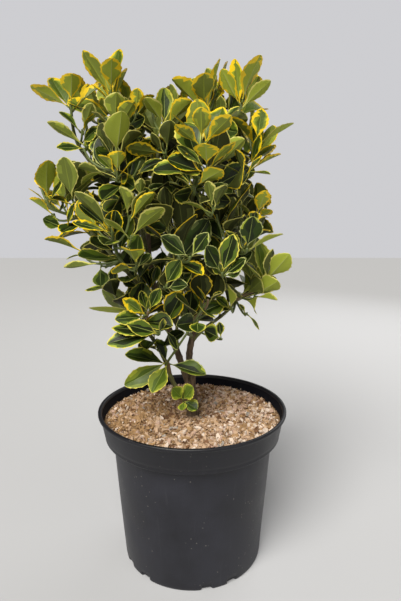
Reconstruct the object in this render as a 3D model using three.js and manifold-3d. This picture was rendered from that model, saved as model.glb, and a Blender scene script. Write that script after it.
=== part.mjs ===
// A variegated Japanese euonymus, a small evergreen shrub, growing in a black nursery pot topped with
// wood chips. Millimetres, Z up. The origin is the middle of the pot's flat underside, and the plant's
// front faces -Y. Each limb and each mass of foliage is its own closed solid.
import * as THREE from 'three';
import { mergeVertices } from 'three/addons/utils/BufferGeometryUtils.js';
import Module from 'manifold-3d';

const wasm = await Module();
wasm.setup();

// Pot, the drain notches round its foot, and the wood chips in it
const POT = {
  height: 203, rimRadius: 123, rimBead: 4, collarTopRadius: 120, collarFootRadius: 114.5,
  collarHeight: 35, bodyTopRadius: 105, footRadius: 92, wall: 2, floor: 4, edge: 1, footEdge: 1.5,
  sides: 36,
};
const NOTCH = { pairs: 5, firstTurn: 22, halfSpread: 10.5, width: 13, depth: 9, height: 6 };
const CHIPS = {
  edgeTop: 189, middleTop: 193, flatRadius: 26, shoulder: 0.62, shoulderRise: 0.7, gap: 0.4, edge: 1,
  sides: 30,
};

// Limbs: paths run from the foot upwards, and the radii are at the foot and at the tip. The trunk's
// path starts a little under the wood chips, where it is cut flat.
const CLEAR = 0.3;
const STEM_SIDES = 6;
const BOUGH_SIDES = 5;
const STEP_LENGTH = 38;
const FLARE_FALL = 7;
const GROUND_CUT = { width: 60, depth: 20 };
const TRUNK = {
  path: [[0, 0, 190], [0.5, 0, 208], [-1.5, 0, 227]],
  radii: [7.2, 5.8], flare: 3.2,
};
const STEMS = {
  stem_mid: {
    parent: 'trunk', at: 0.86, radii: [4.6, 2.4],
    path: [[-10, 2, 247], [-19, 5, 272], [-31, 8, 306], [-50, 10, 365], [-55, 4, 424], [-46, -4, 490],
      [-39, -7, 526]],
  },
  stem_right: {
    parent: 'trunk', at: 0.9, radii: [4.5, 2.4],
    path: [[0, -2, 245], [-4, -4, 268], [2, -5, 307], [15, -3, 358], [24, 0, 430], [22, -2, 500],
      [24, -3, 548]],
  },
  stem_left: {
    parent: 'trunk', at: 0.3, radii: [3.3, 2.2],
    path: [[-12, -4, 216], [-24, -9, 236], [-37, -15, 275], [-50, -24, 302], [-60, -33, 318]],
  },
};

// The crown: each mass is a ball of foliage at the end of its own limb. A mass with a parent gets a
// bough from that share of the parent's length; one with a side grows straight from its limb's side.
const CROWN_AXIS = [-30, 0];
const LEAN_PER_MM = 0.0062;
const MASSES = [
  { name: 'top_left', centre: [-100, 4, 584], radius: 56, shoots: 5, parent: 'stem_mid', at: 0.66 },
  { name: 'upper_mid', centre: [-38, -8, 556], radius: 50, shoots: 4, limb: 'stem_mid' },
  { name: 'top_right', centre: [36, -4, 582], radius: 56, shoots: 5, limb: 'stem_right' },
  { name: 'right_shoulder', centre: [80, 4, 536], radius: 46, shoots: 4, parent: 'stem_right', at: 0.62 },
  { name: 'left_shoulder', centre: [-152, -4, 554], radius: 50, shoots: 5, parent: 'stem_mid', at: 0.5 },
  { name: 'left', centre: [-156, -8, 472], radius: 54, shoots: 5, parent: 'stem_mid', at: 0.3 },
  { name: 'front_left', centre: [-84, -68, 514], radius: 54, shoots: 5, parent: 'stem_mid', at: 0.56 },
  { name: 'front_right', centre: [12, -72, 512], radius: 56, shoots: 5, parent: 'stem_right', at: 0.56 },
  { name: 'middle_left', centre: [-92, -66, 430], radius: 52, shoots: 5, parent: 'stem_mid', at: 0.36 },
  { name: 'middle', centre: [-18, -84, 428], radius: 52, shoots: 4, parent: 'stem_right', at: 0.36 },
  { name: 'middle_right', centre: [50, -64, 436], radius: 50, shoots: 5, parent: 'stem_right', at: 0.42 },
  { name: 'inner', centre: [-18, -14, 480], radius: 46, shoots: 3, parent: 'stem_right', at: 0.46 },
  { name: 'right', centre: [72, 8, 452], radius: 48, shoots: 4, parent: 'stem_right', at: 0.48 },
  { name: 'low_right', centre: [72, -16, 374], radius: 50, shoots: 5, parent: 'stem_right', at: 0.2 },
  { name: 'low_mid', centre: [2, -50, 350], radius: 50, shoots: 4, parent: 'stem_right', at: 0.22 },
  { name: 'low_left', centre: [-66, -40, 346], radius: 50, shoots: 5, limb: 'stem_left' },
  { name: 'lowest', centre: [-44, -36, 262], radius: 48, shoots: 3, limb: 'stem_left', at: 0.5,
    side: [-0.3, -1, 0.2] },
  { name: 'sprig', centre: [-9, -22, 224], radius: 18, shoots: 2, limb: 'trunk', at: 0.2,
    side: [-0.45, -1, 0.3], size: 0.36, nodes: 3 },
  { name: 'back_top_left', centre: [-96, 72, 520], radius: 58, shoots: 5, parent: 'stem_mid', at: 0.6 },
  { name: 'back_top_right', centre: [12, 76, 534], radius: 60, shoots: 5, parent: 'stem_right', at: 0.6 },
  { name: 'back_left', centre: [-98, 66, 418], radius: 56, shoots: 5, parent: 'stem_mid', at: 0.33 },
  { name: 'back_mid', centre: [-22, 88, 446], radius: 52, shoots: 4, parent: 'stem_mid', at: 0.42 },
  { name: 'back_right', centre: [54, 70, 438], radius: 54, shoots: 5, parent: 'stem_right', at: 0.33 },
  { name: 'back_low', centre: [-18, 54, 352], radius: 52, shoots: 4, parent: 'stem_mid', at: 0.16 },
];
const BOUGH_RADII = [2.6, 1.9];
const BOUGH_PULL = 0.35;
const STEM_INSET = 0.7;
const SPACE_OUTSIDE = 14;

// Shoots: the leader and the side shoots that leave it, the lowest the widest.
const SEED = 20261;
const LEADER = { radii: [2.2, 1.5], steps: 3 };
const SIDE_SHOOT = {
  radii: [0.9, 0.9], steps: 2, starts: [0.1, 0.6], polar: [104, 40], polarSpread: 8, shortest: 16,
  leastReach: 0.2, reachStep: 0.08, endOut: 0.55, endUp: 0.7, bend: 0.5,
};
const TWIG_SIDES = 3;
const TIP_REACH = 0.36;
const TIP_MARGIN = 9;

// Leaves, in pairs crosswise to the pair above. The lists run down from the shoot's tip.
const NODE_GAPS = [2, 8, 12, 14, 16];
const LEAF_LENGTHS = [34, 46, 54, 56, 56];
const LEAF_ANGLES = [24, 38, 52, 64, 76];
const LEAF = {
  width: 0.54, keel: 0.035, keelPlace: 0.5, fold: 0.09, widest: 0.6, tipWidth: 0.2, root: 0.1, seat: 0.28,
  clear: 0.4, faceUp: 0.35, curl: -0.05,
};
const LEAF_SPREAD = { turn: 0.3, angle: 9, length: 0.14, curl: 0.08 };
const LEAF_TRIES = { most: 6, upright: 0.1, turned: 0.3, smaller: 0.07 };
const BARE_FOOT = 0.1;
const SMALLEST_DETAIL = 0.02;

const LOOKS = {
  pot: { color: 0x2b2d31, roughness: 0.55 },
  chips: { color: 0xb89a78, roughness: 0.95 },
  bark: { color: 0x6f5a45, roughness: 0.85 },
  foliage: { color: 0x7f8c2e, roughness: 0.45 },
};

const UP = new THREE.Vector3(0, 0, 1);
const GOLDEN_TURN = Math.PI * (3 - Math.sqrt(5));
const vector = (p) => new THREE.Vector3(...p);
const mix = (a, b, t) => a + (b - a) * t;
const radians = THREE.MathUtils.degToRad;

// A number from 0 to 1 that depends only on the seed and on the whole numbers given
function chance(...keys) {
  let h = SEED;
  for (const key of keys) {
    h = Math.imul(h ^ (key + 0x7f4a), 0x9e3779b1);
    h = Math.imul(h ^ (h >>> 15), 0x85ebca6b);
    h ^= h >>> 13;
  }
  return (h >>> 0) / 4294967296;
}
const spread = (...keys) => 2 * chance(...keys) - 1;

function solidFrom(geometry) {
  const bare = geometry.clone();
  for (const name of ['normal', 'uv']) bare.deleteAttribute(name);
  const merged = mergeVertices(bare, 1e-4);
  return new wasm.Manifold(new wasm.Mesh({
    numProp: 3,
    vertProperties: new Float32Array(merged.attributes.position.array),
    triVerts: new Uint32Array(merged.index.array),
  }));
}

function geometryFrom(solid) {
  const mesh = solid.getMesh();
  const geometry = new THREE.BufferGeometry();
  geometry.setAttribute('position', new THREE.BufferAttribute(new Float32Array(mesh.vertProperties), 3));
  geometry.setIndex(new THREE.BufferAttribute(new Uint32Array(mesh.triVerts), 1));
  return geometry;
}

const largestBody = (solid) => solid.decompose().reduce((a, b) => (a.volume() > b.volume() ? a : b));
const touches = (solid, others, clearance) => others.some((o) => solid.minGap(o, clearance) < clearance);

// A path is a list of evenly spaced points, and a share of its length gives a point on it.
function pointOn(path, share) {
  const place = share * (path.length - 1);
  const before = Math.min(Math.floor(place), path.length - 2);
  return path[before].clone().lerp(path[before + 1], place - before);
}

function wayOn(path, share) {
  const before = Math.min(Math.floor(share * (path.length - 1)), path.length - 2);
  return path[before + 1].clone().sub(path[before]).normalize();
}

function lengthOf(path) {
  return path.slice(1).reduce((sum, point, i) => sum + point.distanceTo(path[i]), 0);
}

// A round bar bent along a path, with radiusAt giving its radius at a share of the length
function bentBar(path, radiusAt, sides) {
  const steps = path.length - 1;
  const bar = new THREE.CylinderGeometry(1, 1, 1, sides, steps);
  const position = bar.attributes.position;
  let side = new THREE.Vector3(1, 0, 0);
  const frames = path.map((point, i) => {
    const tangent = path[Math.min(i + 1, steps)].clone().sub(path[Math.max(i - 1, 0)]).normalize();
    if (Math.abs(side.dot(tangent)) > 0.9) side = new THREE.Vector3(0, 1, 0);
    side = side.clone().addScaledVector(tangent, -side.dot(tangent)).normalize();
    return { point, side, other: tangent.cross(side) };
  });
  const corner = new THREE.Vector3();
  for (let i = 0; i < position.count; i++) {
    corner.fromBufferAttribute(position, i);
    const share = corner.y + 0.5;
    const frame = frames[Math.round(share * steps)];
    const radius = radiusAt(share);
    const bent = frame.point.clone();
    bent.addScaledVector(frame.side, corner.z * radius).addScaledVector(frame.other, corner.x * radius);
    position.setXYZ(i, bent.x, bent.y, bent.z);
  }
  return solidFrom(bar);
}

function lathe(profile, sides) {
  const points = profile.map(([r, z]) => new THREE.Vector2(r, z));
  return solidFrom(new THREE.LatheGeometry(points, sides).rotateX(Math.PI / 2));
}

function makePot() {
  const p = POT;
  const collarFoot = p.height - p.collarHeight;
  let pot = lathe([
    [0, 0], [p.footRadius - p.footEdge, 0], [p.footRadius, p.footEdge],
    [p.bodyTopRadius, collarFoot - p.edge], [p.collarFootRadius, collarFoot + p.edge],
    [p.collarTopRadius, p.height - p.rimBead], [p.rimRadius, p.height - p.rimBead + p.edge],
    [p.rimRadius, p.height - p.edge], [p.rimRadius - p.edge, p.height],
    [p.rimRadius - p.rimBead, p.height], [p.collarTopRadius - p.wall, p.height - p.rimBead],
    [p.collarFootRadius - p.wall, collarFoot + p.edge + p.wall],
    [p.bodyTopRadius - p.wall, collarFoot + p.edge],
    [p.footRadius - p.wall, p.floor], [0, p.floor],
  ], p.sides);
  for (let pair = 0; pair < NOTCH.pairs; pair++) {
    for (const hand of [-1, 1]) {
      const turn = radians(NOTCH.firstTurn + (360 / NOTCH.pairs) * pair + hand * NOTCH.halfSpread);
      const notch = new THREE.BoxGeometry(NOTCH.width, 2 * NOTCH.depth, 2 * NOTCH.height);
      notch.translate(0, -p.footRadius, 0).rotateZ(turn);
      pot = pot.subtract(solidFrom(notch));
    }
  }
  return pot;
}

// The filling follows the pot's wall from inside and is crowned towards the trunk.
function makeChips() {
  const p = POT;
  const gap = p.wall + CHIPS.gap;
  const collarFoot = p.height - p.collarHeight;
  const topShare = (CHIPS.edgeTop - collarFoot) / (p.collarHeight - p.rimBead);
  const topRadius = mix(p.collarFootRadius, p.collarTopRadius, topShare) - gap;
  const shoulderTop = mix(CHIPS.edgeTop, CHIPS.middleTop, CHIPS.shoulderRise);
  return lathe([
    [0, p.floor + CHIPS.gap], [p.footRadius - gap - CHIPS.edge, p.floor + CHIPS.gap],
    [p.bodyTopRadius - gap, collarFoot + CHIPS.edge],
    [p.collarFootRadius - gap - CHIPS.edge, collarFoot + 2 * p.wall],
    [topRadius - CHIPS.edge, CHIPS.edgeTop], [topRadius * CHIPS.shoulder, shoulderTop],
    [CHIPS.flatRadius, CHIPS.middleTop], [0, CHIPS.middleTop],
  ], CHIPS.sides);
}

// Every limb by name, with its path, its solid, and swollen, what later limbs are cut clear of
const limbs = new Map();
const limbSolids = () => [...limbs.values()].map((limb) => limb.solid);

// What lies under the level that the trunk is cut at
function belowGround() {
  const { width, depth } = GROUND_CUT;
  const box = new THREE.BoxGeometry(width, width, depth);
  return solidFrom(box.translate(0, 0, CHIPS.middleTop + CLEAR - depth / 2));
}

function makeLimb(name, curve, radii, sides, flare = 0) {
  const path = curve.getSpacedPoints(Math.max(3, Math.ceil(curve.getLength() / STEP_LENGTH)));
  const radiusAt = (share) => mix(radii[0], radii[1], share) + flare * Math.exp(-share * FLARE_FALL);
  let solid = bentBar(path, radiusAt, sides).subtract(belowGround());
  for (const other of limbs.values()) {
    if (touches(solid, [other.solid], CLEAR)) solid = solid.subtract(other.swollen);
  }
  const longer = [...path.slice(0, -1), path.at(-1).clone().addScaledVector(wayOn(path, 1), CLEAR)];
  const swollen = bentBar(longer, (share) => radiusAt(share) + CLEAR / Math.cos(Math.PI / sides), sides);
  limbs.set(name, { path, solid: largestBody(solid), swollen });
}

function growthOf(mass) {
  const [x, y] = mass.centre;
  const lean = new THREE.Vector3(x - CROWN_AXIS[0], y - CROWN_AXIS[1], 0).multiplyScalar(LEAN_PER_MM);
  return lean.add(UP).normalize();
}

// A bough leaves its parent between the parent's way and the straight way to the mass, and turns up
// into the mass along the mass's growth.
function boughCurve(mass) {
  const { path } = limbs.get(mass.parent);
  const foot = pointOn(path, mass.at);
  const growth = growthOf(mass);
  const tip = vector(mass.centre).addScaledVector(growth, -STEM_INSET * mass.radius);
  const pull = foot.distanceTo(tip) * BOUGH_PULL;
  const departure = tip.clone().sub(foot).normalize().add(wayOn(path, mass.at)).normalize();
  return new THREE.CubicBezierCurve3(
    foot, foot.clone().addScaledVector(departure, pull), tip.clone().addScaledVector(growth, -pull), tip,
  );
}

function makeLimbs() {
  const through = (points) => new THREE.CatmullRomCurve3(points, false, 'centripetal');
  makeLimb('trunk', through(TRUNK.path.map(vector)), TRUNK.radii, STEM_SIDES, TRUNK.flare);
  for (const [name, stem] of Object.entries(STEMS)) {
    const foot = pointOn(limbs.get(stem.parent).path, stem.at);
    makeLimb(name, through([foot, ...stem.path.map(vector)]), stem.radii, STEM_SIDES);
  }
  for (const mass of MASSES.filter((m) => m.parent)) {
    mass.limb = `bough_${mass.name}`;
    makeLimb(mass.limb, boughCurve(mass), BOUGH_RADII, BOUGH_SIDES);
  }
}

// A mass's own space: nearer to its ball than to any other ball, and not far outside its own
function insideSpace(point, mass, margin) {
  const power = (m) => point.distanceToSquared(vector(m.centre)) - m.radius ** 2;
  const own = power(mass);
  if (own > 2 * mass.radius * SPACE_OUTSIDE) return false;
  return MASSES.every((other) => {
    if (other === mass) return true;
    const apart = vector(other.centre).distanceTo(vector(mass.centre));
    return own + 2 * apart * margin < power(other);
  });
}

// Five outline points and a keel point below them: eight faces. The sides stand up like a shallow boat.
function leafSolid({ foot, way, face, length, curl }) {
  const across = way.clone().cross(face).normalize();
  const at = (along, side, lift) => foot.clone().addScaledVector(way, along * length)
    .addScaledVector(across, side * length * LEAF.width).addScaledVector(face, lift * length);
  const points = [
    at(0, 0, 0), at(LEAF.widest, 0.5, LEAF.fold), at(1, LEAF.tipWidth, curl),
    at(1, -LEAF.tipWidth, curl), at(LEAF.widest, -0.5, LEAF.fold), at(LEAF.keelPlace, 0, -LEAF.keel),
  ];
  const index = [0, 1, 4, 1, 2, 3, 1, 3, 4];
  for (let i = 0; i < 5; i++) index.push((i + 1) % 5, i, 5);
  return { points, solid: solidFrom(new THREE.BufferGeometry().setFromPoints(points).setIndex(index)) };
}

// The leaf is tried more upright, smaller and turned, until it keeps to its space, off the limbs and
// off the shoots and leaves of its mass.
function fitLeaf(mass, shoot, share, turn, angle, length, keys, others) {
  const tangent = wayOn(shoot.path, share);
  const outward = shoot.side.clone().addScaledVector(tangent, -shoot.side.dot(tangent)).normalize();
  const curl = LEAF.curl + LEAF_SPREAD.curl * spread(...keys, 5);
  for (let attempt = 0; attempt < LEAF_TRIES.most; attempt++) {
    const opening = radians(angle * (1 - LEAF_TRIES.upright * attempt));
    const turned = turn + LEAF_TRIES.turned * attempt * spread(...keys, 7, attempt);
    const side = outward.clone().applyAxisAngle(tangent, turned);
    const foot = pointOn(shoot.path, share).addScaledVector(side, LEAF.seat * shoot.radii[1]);
    const way = tangent.clone().multiplyScalar(Math.cos(opening)).addScaledVector(side, Math.sin(opening));
    const face = tangent.clone().multiplyScalar(Math.sin(opening)).addScaledVector(side, -Math.cos(opening));
    face.addScaledVector(UP, LEAF.faceUp);
    face.addScaledVector(way, -face.dot(way)).normalize();
    const size = length * (1 - LEAF_TRIES.smaller * attempt);
    const { points, solid } = leafSolid({ foot, way, face, length: size, curl });
    if (!points.slice(1).every((p) => insideSpace(p, mass, LEAF.clear))) continue;
    if (touches(solid, limbSolids(), LEAF.clear)) continue;
    const past = foot.clone().addScaledVector(way, LEAF.root * size);
    const blade = leafSolid({ foot: past, way, face, length: size * (1 - LEAF.root), curl }).solid;
    if (touches(blade, others, LEAF.clear)) continue;
    return { solid, blade };
  }
  return null;
}

function growLeaves(mass, massIndex, shoots, shootIndex, leaves) {
  const shoot = shoots[shootIndex];
  const otherTwigs = shoots.filter((other) => other !== shoot).map((other) => other.twig);
  const scale = mass.size ?? 1;
  const length = lengthOf(shoot.path);
  const firstTurn = 2 * Math.PI * chance(massIndex, shootIndex, 1);
  let back = 0;
  for (let node = 0; node < (mass.nodes ?? NODE_GAPS.length); node++) {
    back += NODE_GAPS[node] * scale;
    if (back > length * (1 - BARE_FOOT)) break;
    for (const hand of [0, 1]) {
      const keys = [massIndex, shootIndex, 10 + node, hand];
      const pairTurn = firstTurn + (node * Math.PI) / 2 + hand * Math.PI;
      const turn = pairTurn + LEAF_SPREAD.turn * spread(...keys, 2);
      const angle = LEAF_ANGLES[node] + LEAF_SPREAD.angle * spread(...keys, 3);
      const size = scale * LEAF_LENGTHS[node] * (1 + LEAF_SPREAD.length * spread(...keys, 4));
      const others = [...otherTwigs, ...leaves.map((leaf) => leaf.blade)];
      const leaf = fitLeaf(mass, shoot, 1 - back / length, turn, angle, size, keys, others);
      if (leaf) leaves.push(leaf);
    }
  }
}

// The leader starts at its limb's tip or side, moved out until it is clear, and runs up through the ball.
function leaderOf(mass, top) {
  const { path, solid } = limbs.get(mass.limb);
  const way = mass.side ? vector(mass.side).normalize() : wayOn(path, 1);
  const foot = pointOn(path, mass.side ? mass.at : 1);
  const leader = () => {
    const bend = foot.clone().addScaledVector(way, foot.distanceTo(top) / 2);
    return new THREE.QuadraticBezierCurve3(foot, bend, top).getSpacedPoints(LEADER.steps);
  };
  while (touches(twigOf(leader(), LEADER.radii), [solid], CLEAR)) foot.addScaledVector(way, CLEAR / 4);
  return leader();
}

const twigOf = (path, radii) => bentBar(path, (share) => mix(...radii, share), TWIG_SIDES);

// Side shoots leave the leader in a spiral. Each stops where its space ends and turns upwards there.
function shootsOf(mass, massIndex) {
  const centre = vector(mass.centre);
  const growth = growthOf(mass);
  const leader = leaderOf(mass, centre.clone().addScaledVector(growth, mass.radius * TIP_REACH));
  const side = new THREE.Vector3(1, 0, 0).addScaledVector(growth, -growth.x).normalize();
  const other = growth.clone().cross(side);
  const shoots = [{ path: leader, side, radii: LEADER.radii }];
  const phase = 2 * Math.PI * chance(massIndex, 0, 9);
  for (let k = 1; k < mass.shoots; k++) {
    const share = (k - 1) / Math.max(1, mass.shoots - 2);
    const opening = mix(...SIDE_SHOOT.polar, share) + SIDE_SHOOT.polarSpread * spread(massIndex, k, 6);
    const polar = radians(opening);
    const turn = phase + k * GOLDEN_TURN;
    const outward = growth.clone().multiplyScalar(Math.cos(polar))
      .addScaledVector(side, Math.sin(polar) * Math.cos(turn))
      .addScaledVector(other, Math.sin(polar) * Math.sin(turn));
    const start = pointOn(leader, mix(...SIDE_SHOOT.starts, share));
    const goal = centre.clone().addScaledVector(outward, mass.radius * TIP_REACH);
    const fits = (reach) => insideSpace(start.clone().lerp(goal, reach), mass, TIP_MARGIN);
    let reach = 1;
    while (reach > SIDE_SHOOT.leastReach && !fits(reach)) reach -= SIDE_SHOOT.reachStep;
    goal.lerpVectors(start, goal, reach);
    const run = start.distanceTo(goal);
    if (run < SIDE_SHOOT.shortest * (mass.size ?? 1)) continue;
    const ending = outward.clone().multiplyScalar(SIDE_SHOOT.endOut).addScaledVector(UP, SIDE_SHOOT.endUp);
    const turning = goal.clone().addScaledVector(ending.normalize(), -SIDE_SHOOT.bend * run);
    const path = new THREE.QuadraticBezierCurve3(start, turning, goal).getSpacedPoints(SIDE_SHOOT.steps);
    shoots.push({ path, side, radii: SIDE_SHOOT.radii });
  }
  for (const shoot of shoots) shoot.twig = twigOf(shoot.path, shoot.radii);
  return shoots.filter((shoot, i) => i === 0 || !touches(shoot.twig, limbSolids(), LEAF.clear));
}

function makeMass(mass, massIndex) {
  const shoots = shootsOf(mass, massIndex);
  const leaves = [];
  shoots.forEach((shoot, i) => growLeaves(mass, massIndex, shoots, i, leaves));
  const pieces = [...shoots.map((shoot) => shoot.twig), ...leaves.map((leaf) => leaf.solid)];
  return largestBody(wasm.Manifold.union(pieces).simplify(SMALLEST_DETAIL));
}

const plant = new THREE.Group();

function add(name, solid, look) {
  const mesh = new THREE.Mesh(geometryFrom(solid), new THREE.MeshStandardMaterial({ ...look, metalness: 0 }));
  mesh.name = name;
  plant.add(mesh);
}

makeLimbs();
add('pot', makePot(), LOOKS.pot);
add('chips', makeChips(), LOOKS.chips);
for (const [name, limb] of limbs) add(name, limb.solid, LOOKS.bark);
MASSES.forEach((mass, index) => add(`foliage_${mass.name}`, makeMass(mass, index), LOOKS.foliage));

export default plant;
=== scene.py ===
# A variegated Japanese euonymus in a black nursery pot topped with wood chips: the looks of the packed
# part. Shapes are worked out in millimetres, Z up, with the plant's front facing -Y.
import math

import bpy
import numpy as np
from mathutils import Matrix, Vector, noise
from mathutils.bvhtree import BVHTree


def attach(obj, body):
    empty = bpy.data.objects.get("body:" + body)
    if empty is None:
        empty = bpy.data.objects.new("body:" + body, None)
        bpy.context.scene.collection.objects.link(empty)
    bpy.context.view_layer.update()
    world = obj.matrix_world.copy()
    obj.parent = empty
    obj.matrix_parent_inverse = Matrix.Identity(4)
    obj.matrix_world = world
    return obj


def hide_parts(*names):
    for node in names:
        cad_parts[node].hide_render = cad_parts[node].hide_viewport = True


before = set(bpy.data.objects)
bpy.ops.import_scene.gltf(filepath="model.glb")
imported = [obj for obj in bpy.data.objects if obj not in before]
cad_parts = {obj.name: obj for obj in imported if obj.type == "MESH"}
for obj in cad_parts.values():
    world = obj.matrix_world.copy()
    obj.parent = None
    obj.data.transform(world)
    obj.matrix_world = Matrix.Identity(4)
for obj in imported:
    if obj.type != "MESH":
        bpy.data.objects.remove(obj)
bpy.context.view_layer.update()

MM = 0.001
UP = np.array((0.0, 0.0, 1.0))
RIGHT = np.array((1.0, 0.0, 0.0))

# The camera stands where the photograph's did. Places in the photograph are a column and a row.
CAMERA = {"at": (10.6, -607, 459), "pitch_down": 10.72, "lens": 29.02, "sensor": 36}
PHOTO = {"height": 601, "middle_column": 200.5, "middle_row": 300.5}
PITCH = math.radians(CAMERA["pitch_down"])
FOCAL = CAMERA["lens"] / CAMERA["sensor"] * PHOTO["height"]

# The limbs and the masses of foliage, as in the part's source
TRUNK = {"path": [(0, 0, 186), (0.5, 0, 208), (-1.5, 0, 227)], "radii": (7.2, 5.8), "flare": 3.2}
TRUNK_FOOT = (0, 0, 190)
STEMS = {
    "stem_mid": {"at": 0.86, "radii": (4.6, 2.4), "path": [
        (-10, 2, 247), (-19, 5, 272), (-31, 8, 306), (-50, 10, 365), (-55, 4, 424), (-46, -4, 490),
        (-39, -7, 526)]},
    "stem_right": {"at": 0.9, "radii": (4.5, 2.4), "path": [
        (0, -2, 245), (-4, -4, 268), (2, -5, 307), (15, -3, 358), (24, 0, 430), (22, -2, 500), (24, -3, 548)]},
    "stem_left": {"at": 0.3, "radii": (3.3, 2.2), "path": [
        (-12, -4, 216), (-24, -9, 236), (-37, -15, 275), (-50, -24, 302), (-60, -33, 318)]},
}
BOUGH = {"radii": (2.6, 1.9), "pull": 0.35, "inset": 0.7}
CROWN = {"axis": (-30, 0), "lean_per_mm": 0.0062}
# What sets a mass apart: how far its shoots lean forward, how much painted light its leaves' colours get (painted
# shade below zero), their kind, the way its leader leaves the side of its limb, its leaves' size, and their width
# as a share of their length
USUAL = {"lean": 0, "lift": 0, "kind": None, "side": None, "size": 1, "ratio": 0.6}
# painted light and shade: a negative lift and the deep kind darken the colours of the masses in the crown's middle
# and at its back as painted shade; low_right and lowest get painted light
SPECIAL = {
    "middle_left": {"lift": -0.06, "lean": 0.1},
    "middle": {"kind": "deep", "lift": -0.25, "lean": 0.6},
    "middle_right": {"kind": "deep", "lift": -0.25, "lean": 0.55},
    "inner": {"lift": -0.25},
    "low_right": {"kind": "leafy", "lift": 0.3, "lean": 0.15},
    "low_mid": {"kind": "deep", "lift": -0.25, "lean": 0.4},
    "low_left": {"kind": "deep", "lean": 0.5},
    "lowest": {"kind": "leafy", "lift": 0.12, "lean": 0.9, "side": (0.1, -0.7, 1)},
    "sprig": {"kind": "small", "lean": 1.2, "side": (-0.45, -1, 0.3), "size": 0.36, "ratio": 0.85},
    **dict.fromkeys(("back_left", "back_mid", "back_right", "back_low"), {"lift": -0.15}),
}
# A mass grows from a bough that leaves its limb at a share of the limb's length, or, at 1, from the limb's tip
MASS_COLUMNS = ("name", "centre", "radius", "shoots", "limb", "at")
MASSES = [{**USUAL, **dict(zip(MASS_COLUMNS, row)), **SPECIAL.get(row[0], {})} for row in (
    ("top_left", (-100, 4, 584), 56, 5, "stem_mid", 0.66),
    ("upper_mid", (-38, -8, 556), 50, 4, "stem_mid", 1),
    ("top_right", (36, -4, 582), 56, 5, "stem_right", 1),
    ("right_shoulder", (80, 4, 536), 46, 4, "stem_right", 0.62),
    ("left_shoulder", (-152, -4, 554), 50, 3, "stem_mid", 0.5),
    ("left", (-156, -8, 472), 54, 5, "stem_mid", 0.3),
    ("front_left", (-84, -68, 514), 54, 5, "stem_mid", 0.56),
    ("front_right", (12, -72, 512), 56, 5, "stem_right", 0.56),
    ("middle_left", (-92, -66, 430), 52, 5, "stem_mid", 0.36),
    ("middle", (-18, -84, 428), 52, 4, "stem_right", 0.36),
    ("middle_right", (50, -64, 436), 50, 5, "stem_right", 0.42),
    ("inner", (-18, -14, 480), 46, 3, "stem_right", 0.46),
    ("right", (72, 8, 452), 48, 4, "stem_right", 0.48),
    ("low_right", (72, -16, 374), 50, 5, "stem_right", 0.2),
    ("low_mid", (2, -50, 350), 50, 4, "stem_right", 0.22),
    ("low_left", (-66, -40, 346), 50, 5, "stem_left", 1),
    ("lowest", (-44, -36, 262), 48, 0, "stem_left", 0.42),
    ("sprig", (-9, -22, 224), 18, 0, "trunk", 0.2),
    ("back_top_left", (-96, 72, 520), 58, 5, "stem_mid", 0.6),
    ("back_top_right", (12, 76, 534), 60, 5, "stem_right", 0.6),
    ("back_left", (-98, 66, 418), 56, 5, "stem_mid", 0.33),
    ("back_mid", (-22, 88, 446), 52, 4, "stem_mid", 0.42),
    ("back_right", (54, 70, 438), 54, 5, "stem_right", 0.33),
    ("back_low", (-18, 54, 352), 52, 4, "stem_mid", 0.16))]
CENTRES = np.array([mass["centre"] for mass in MASSES], float)
RADII = np.array([mass["radius"] for mass in MASSES], float)
APART = np.linalg.norm(CENTRES[:, None] - CENTRES[None], axis=2)
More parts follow.
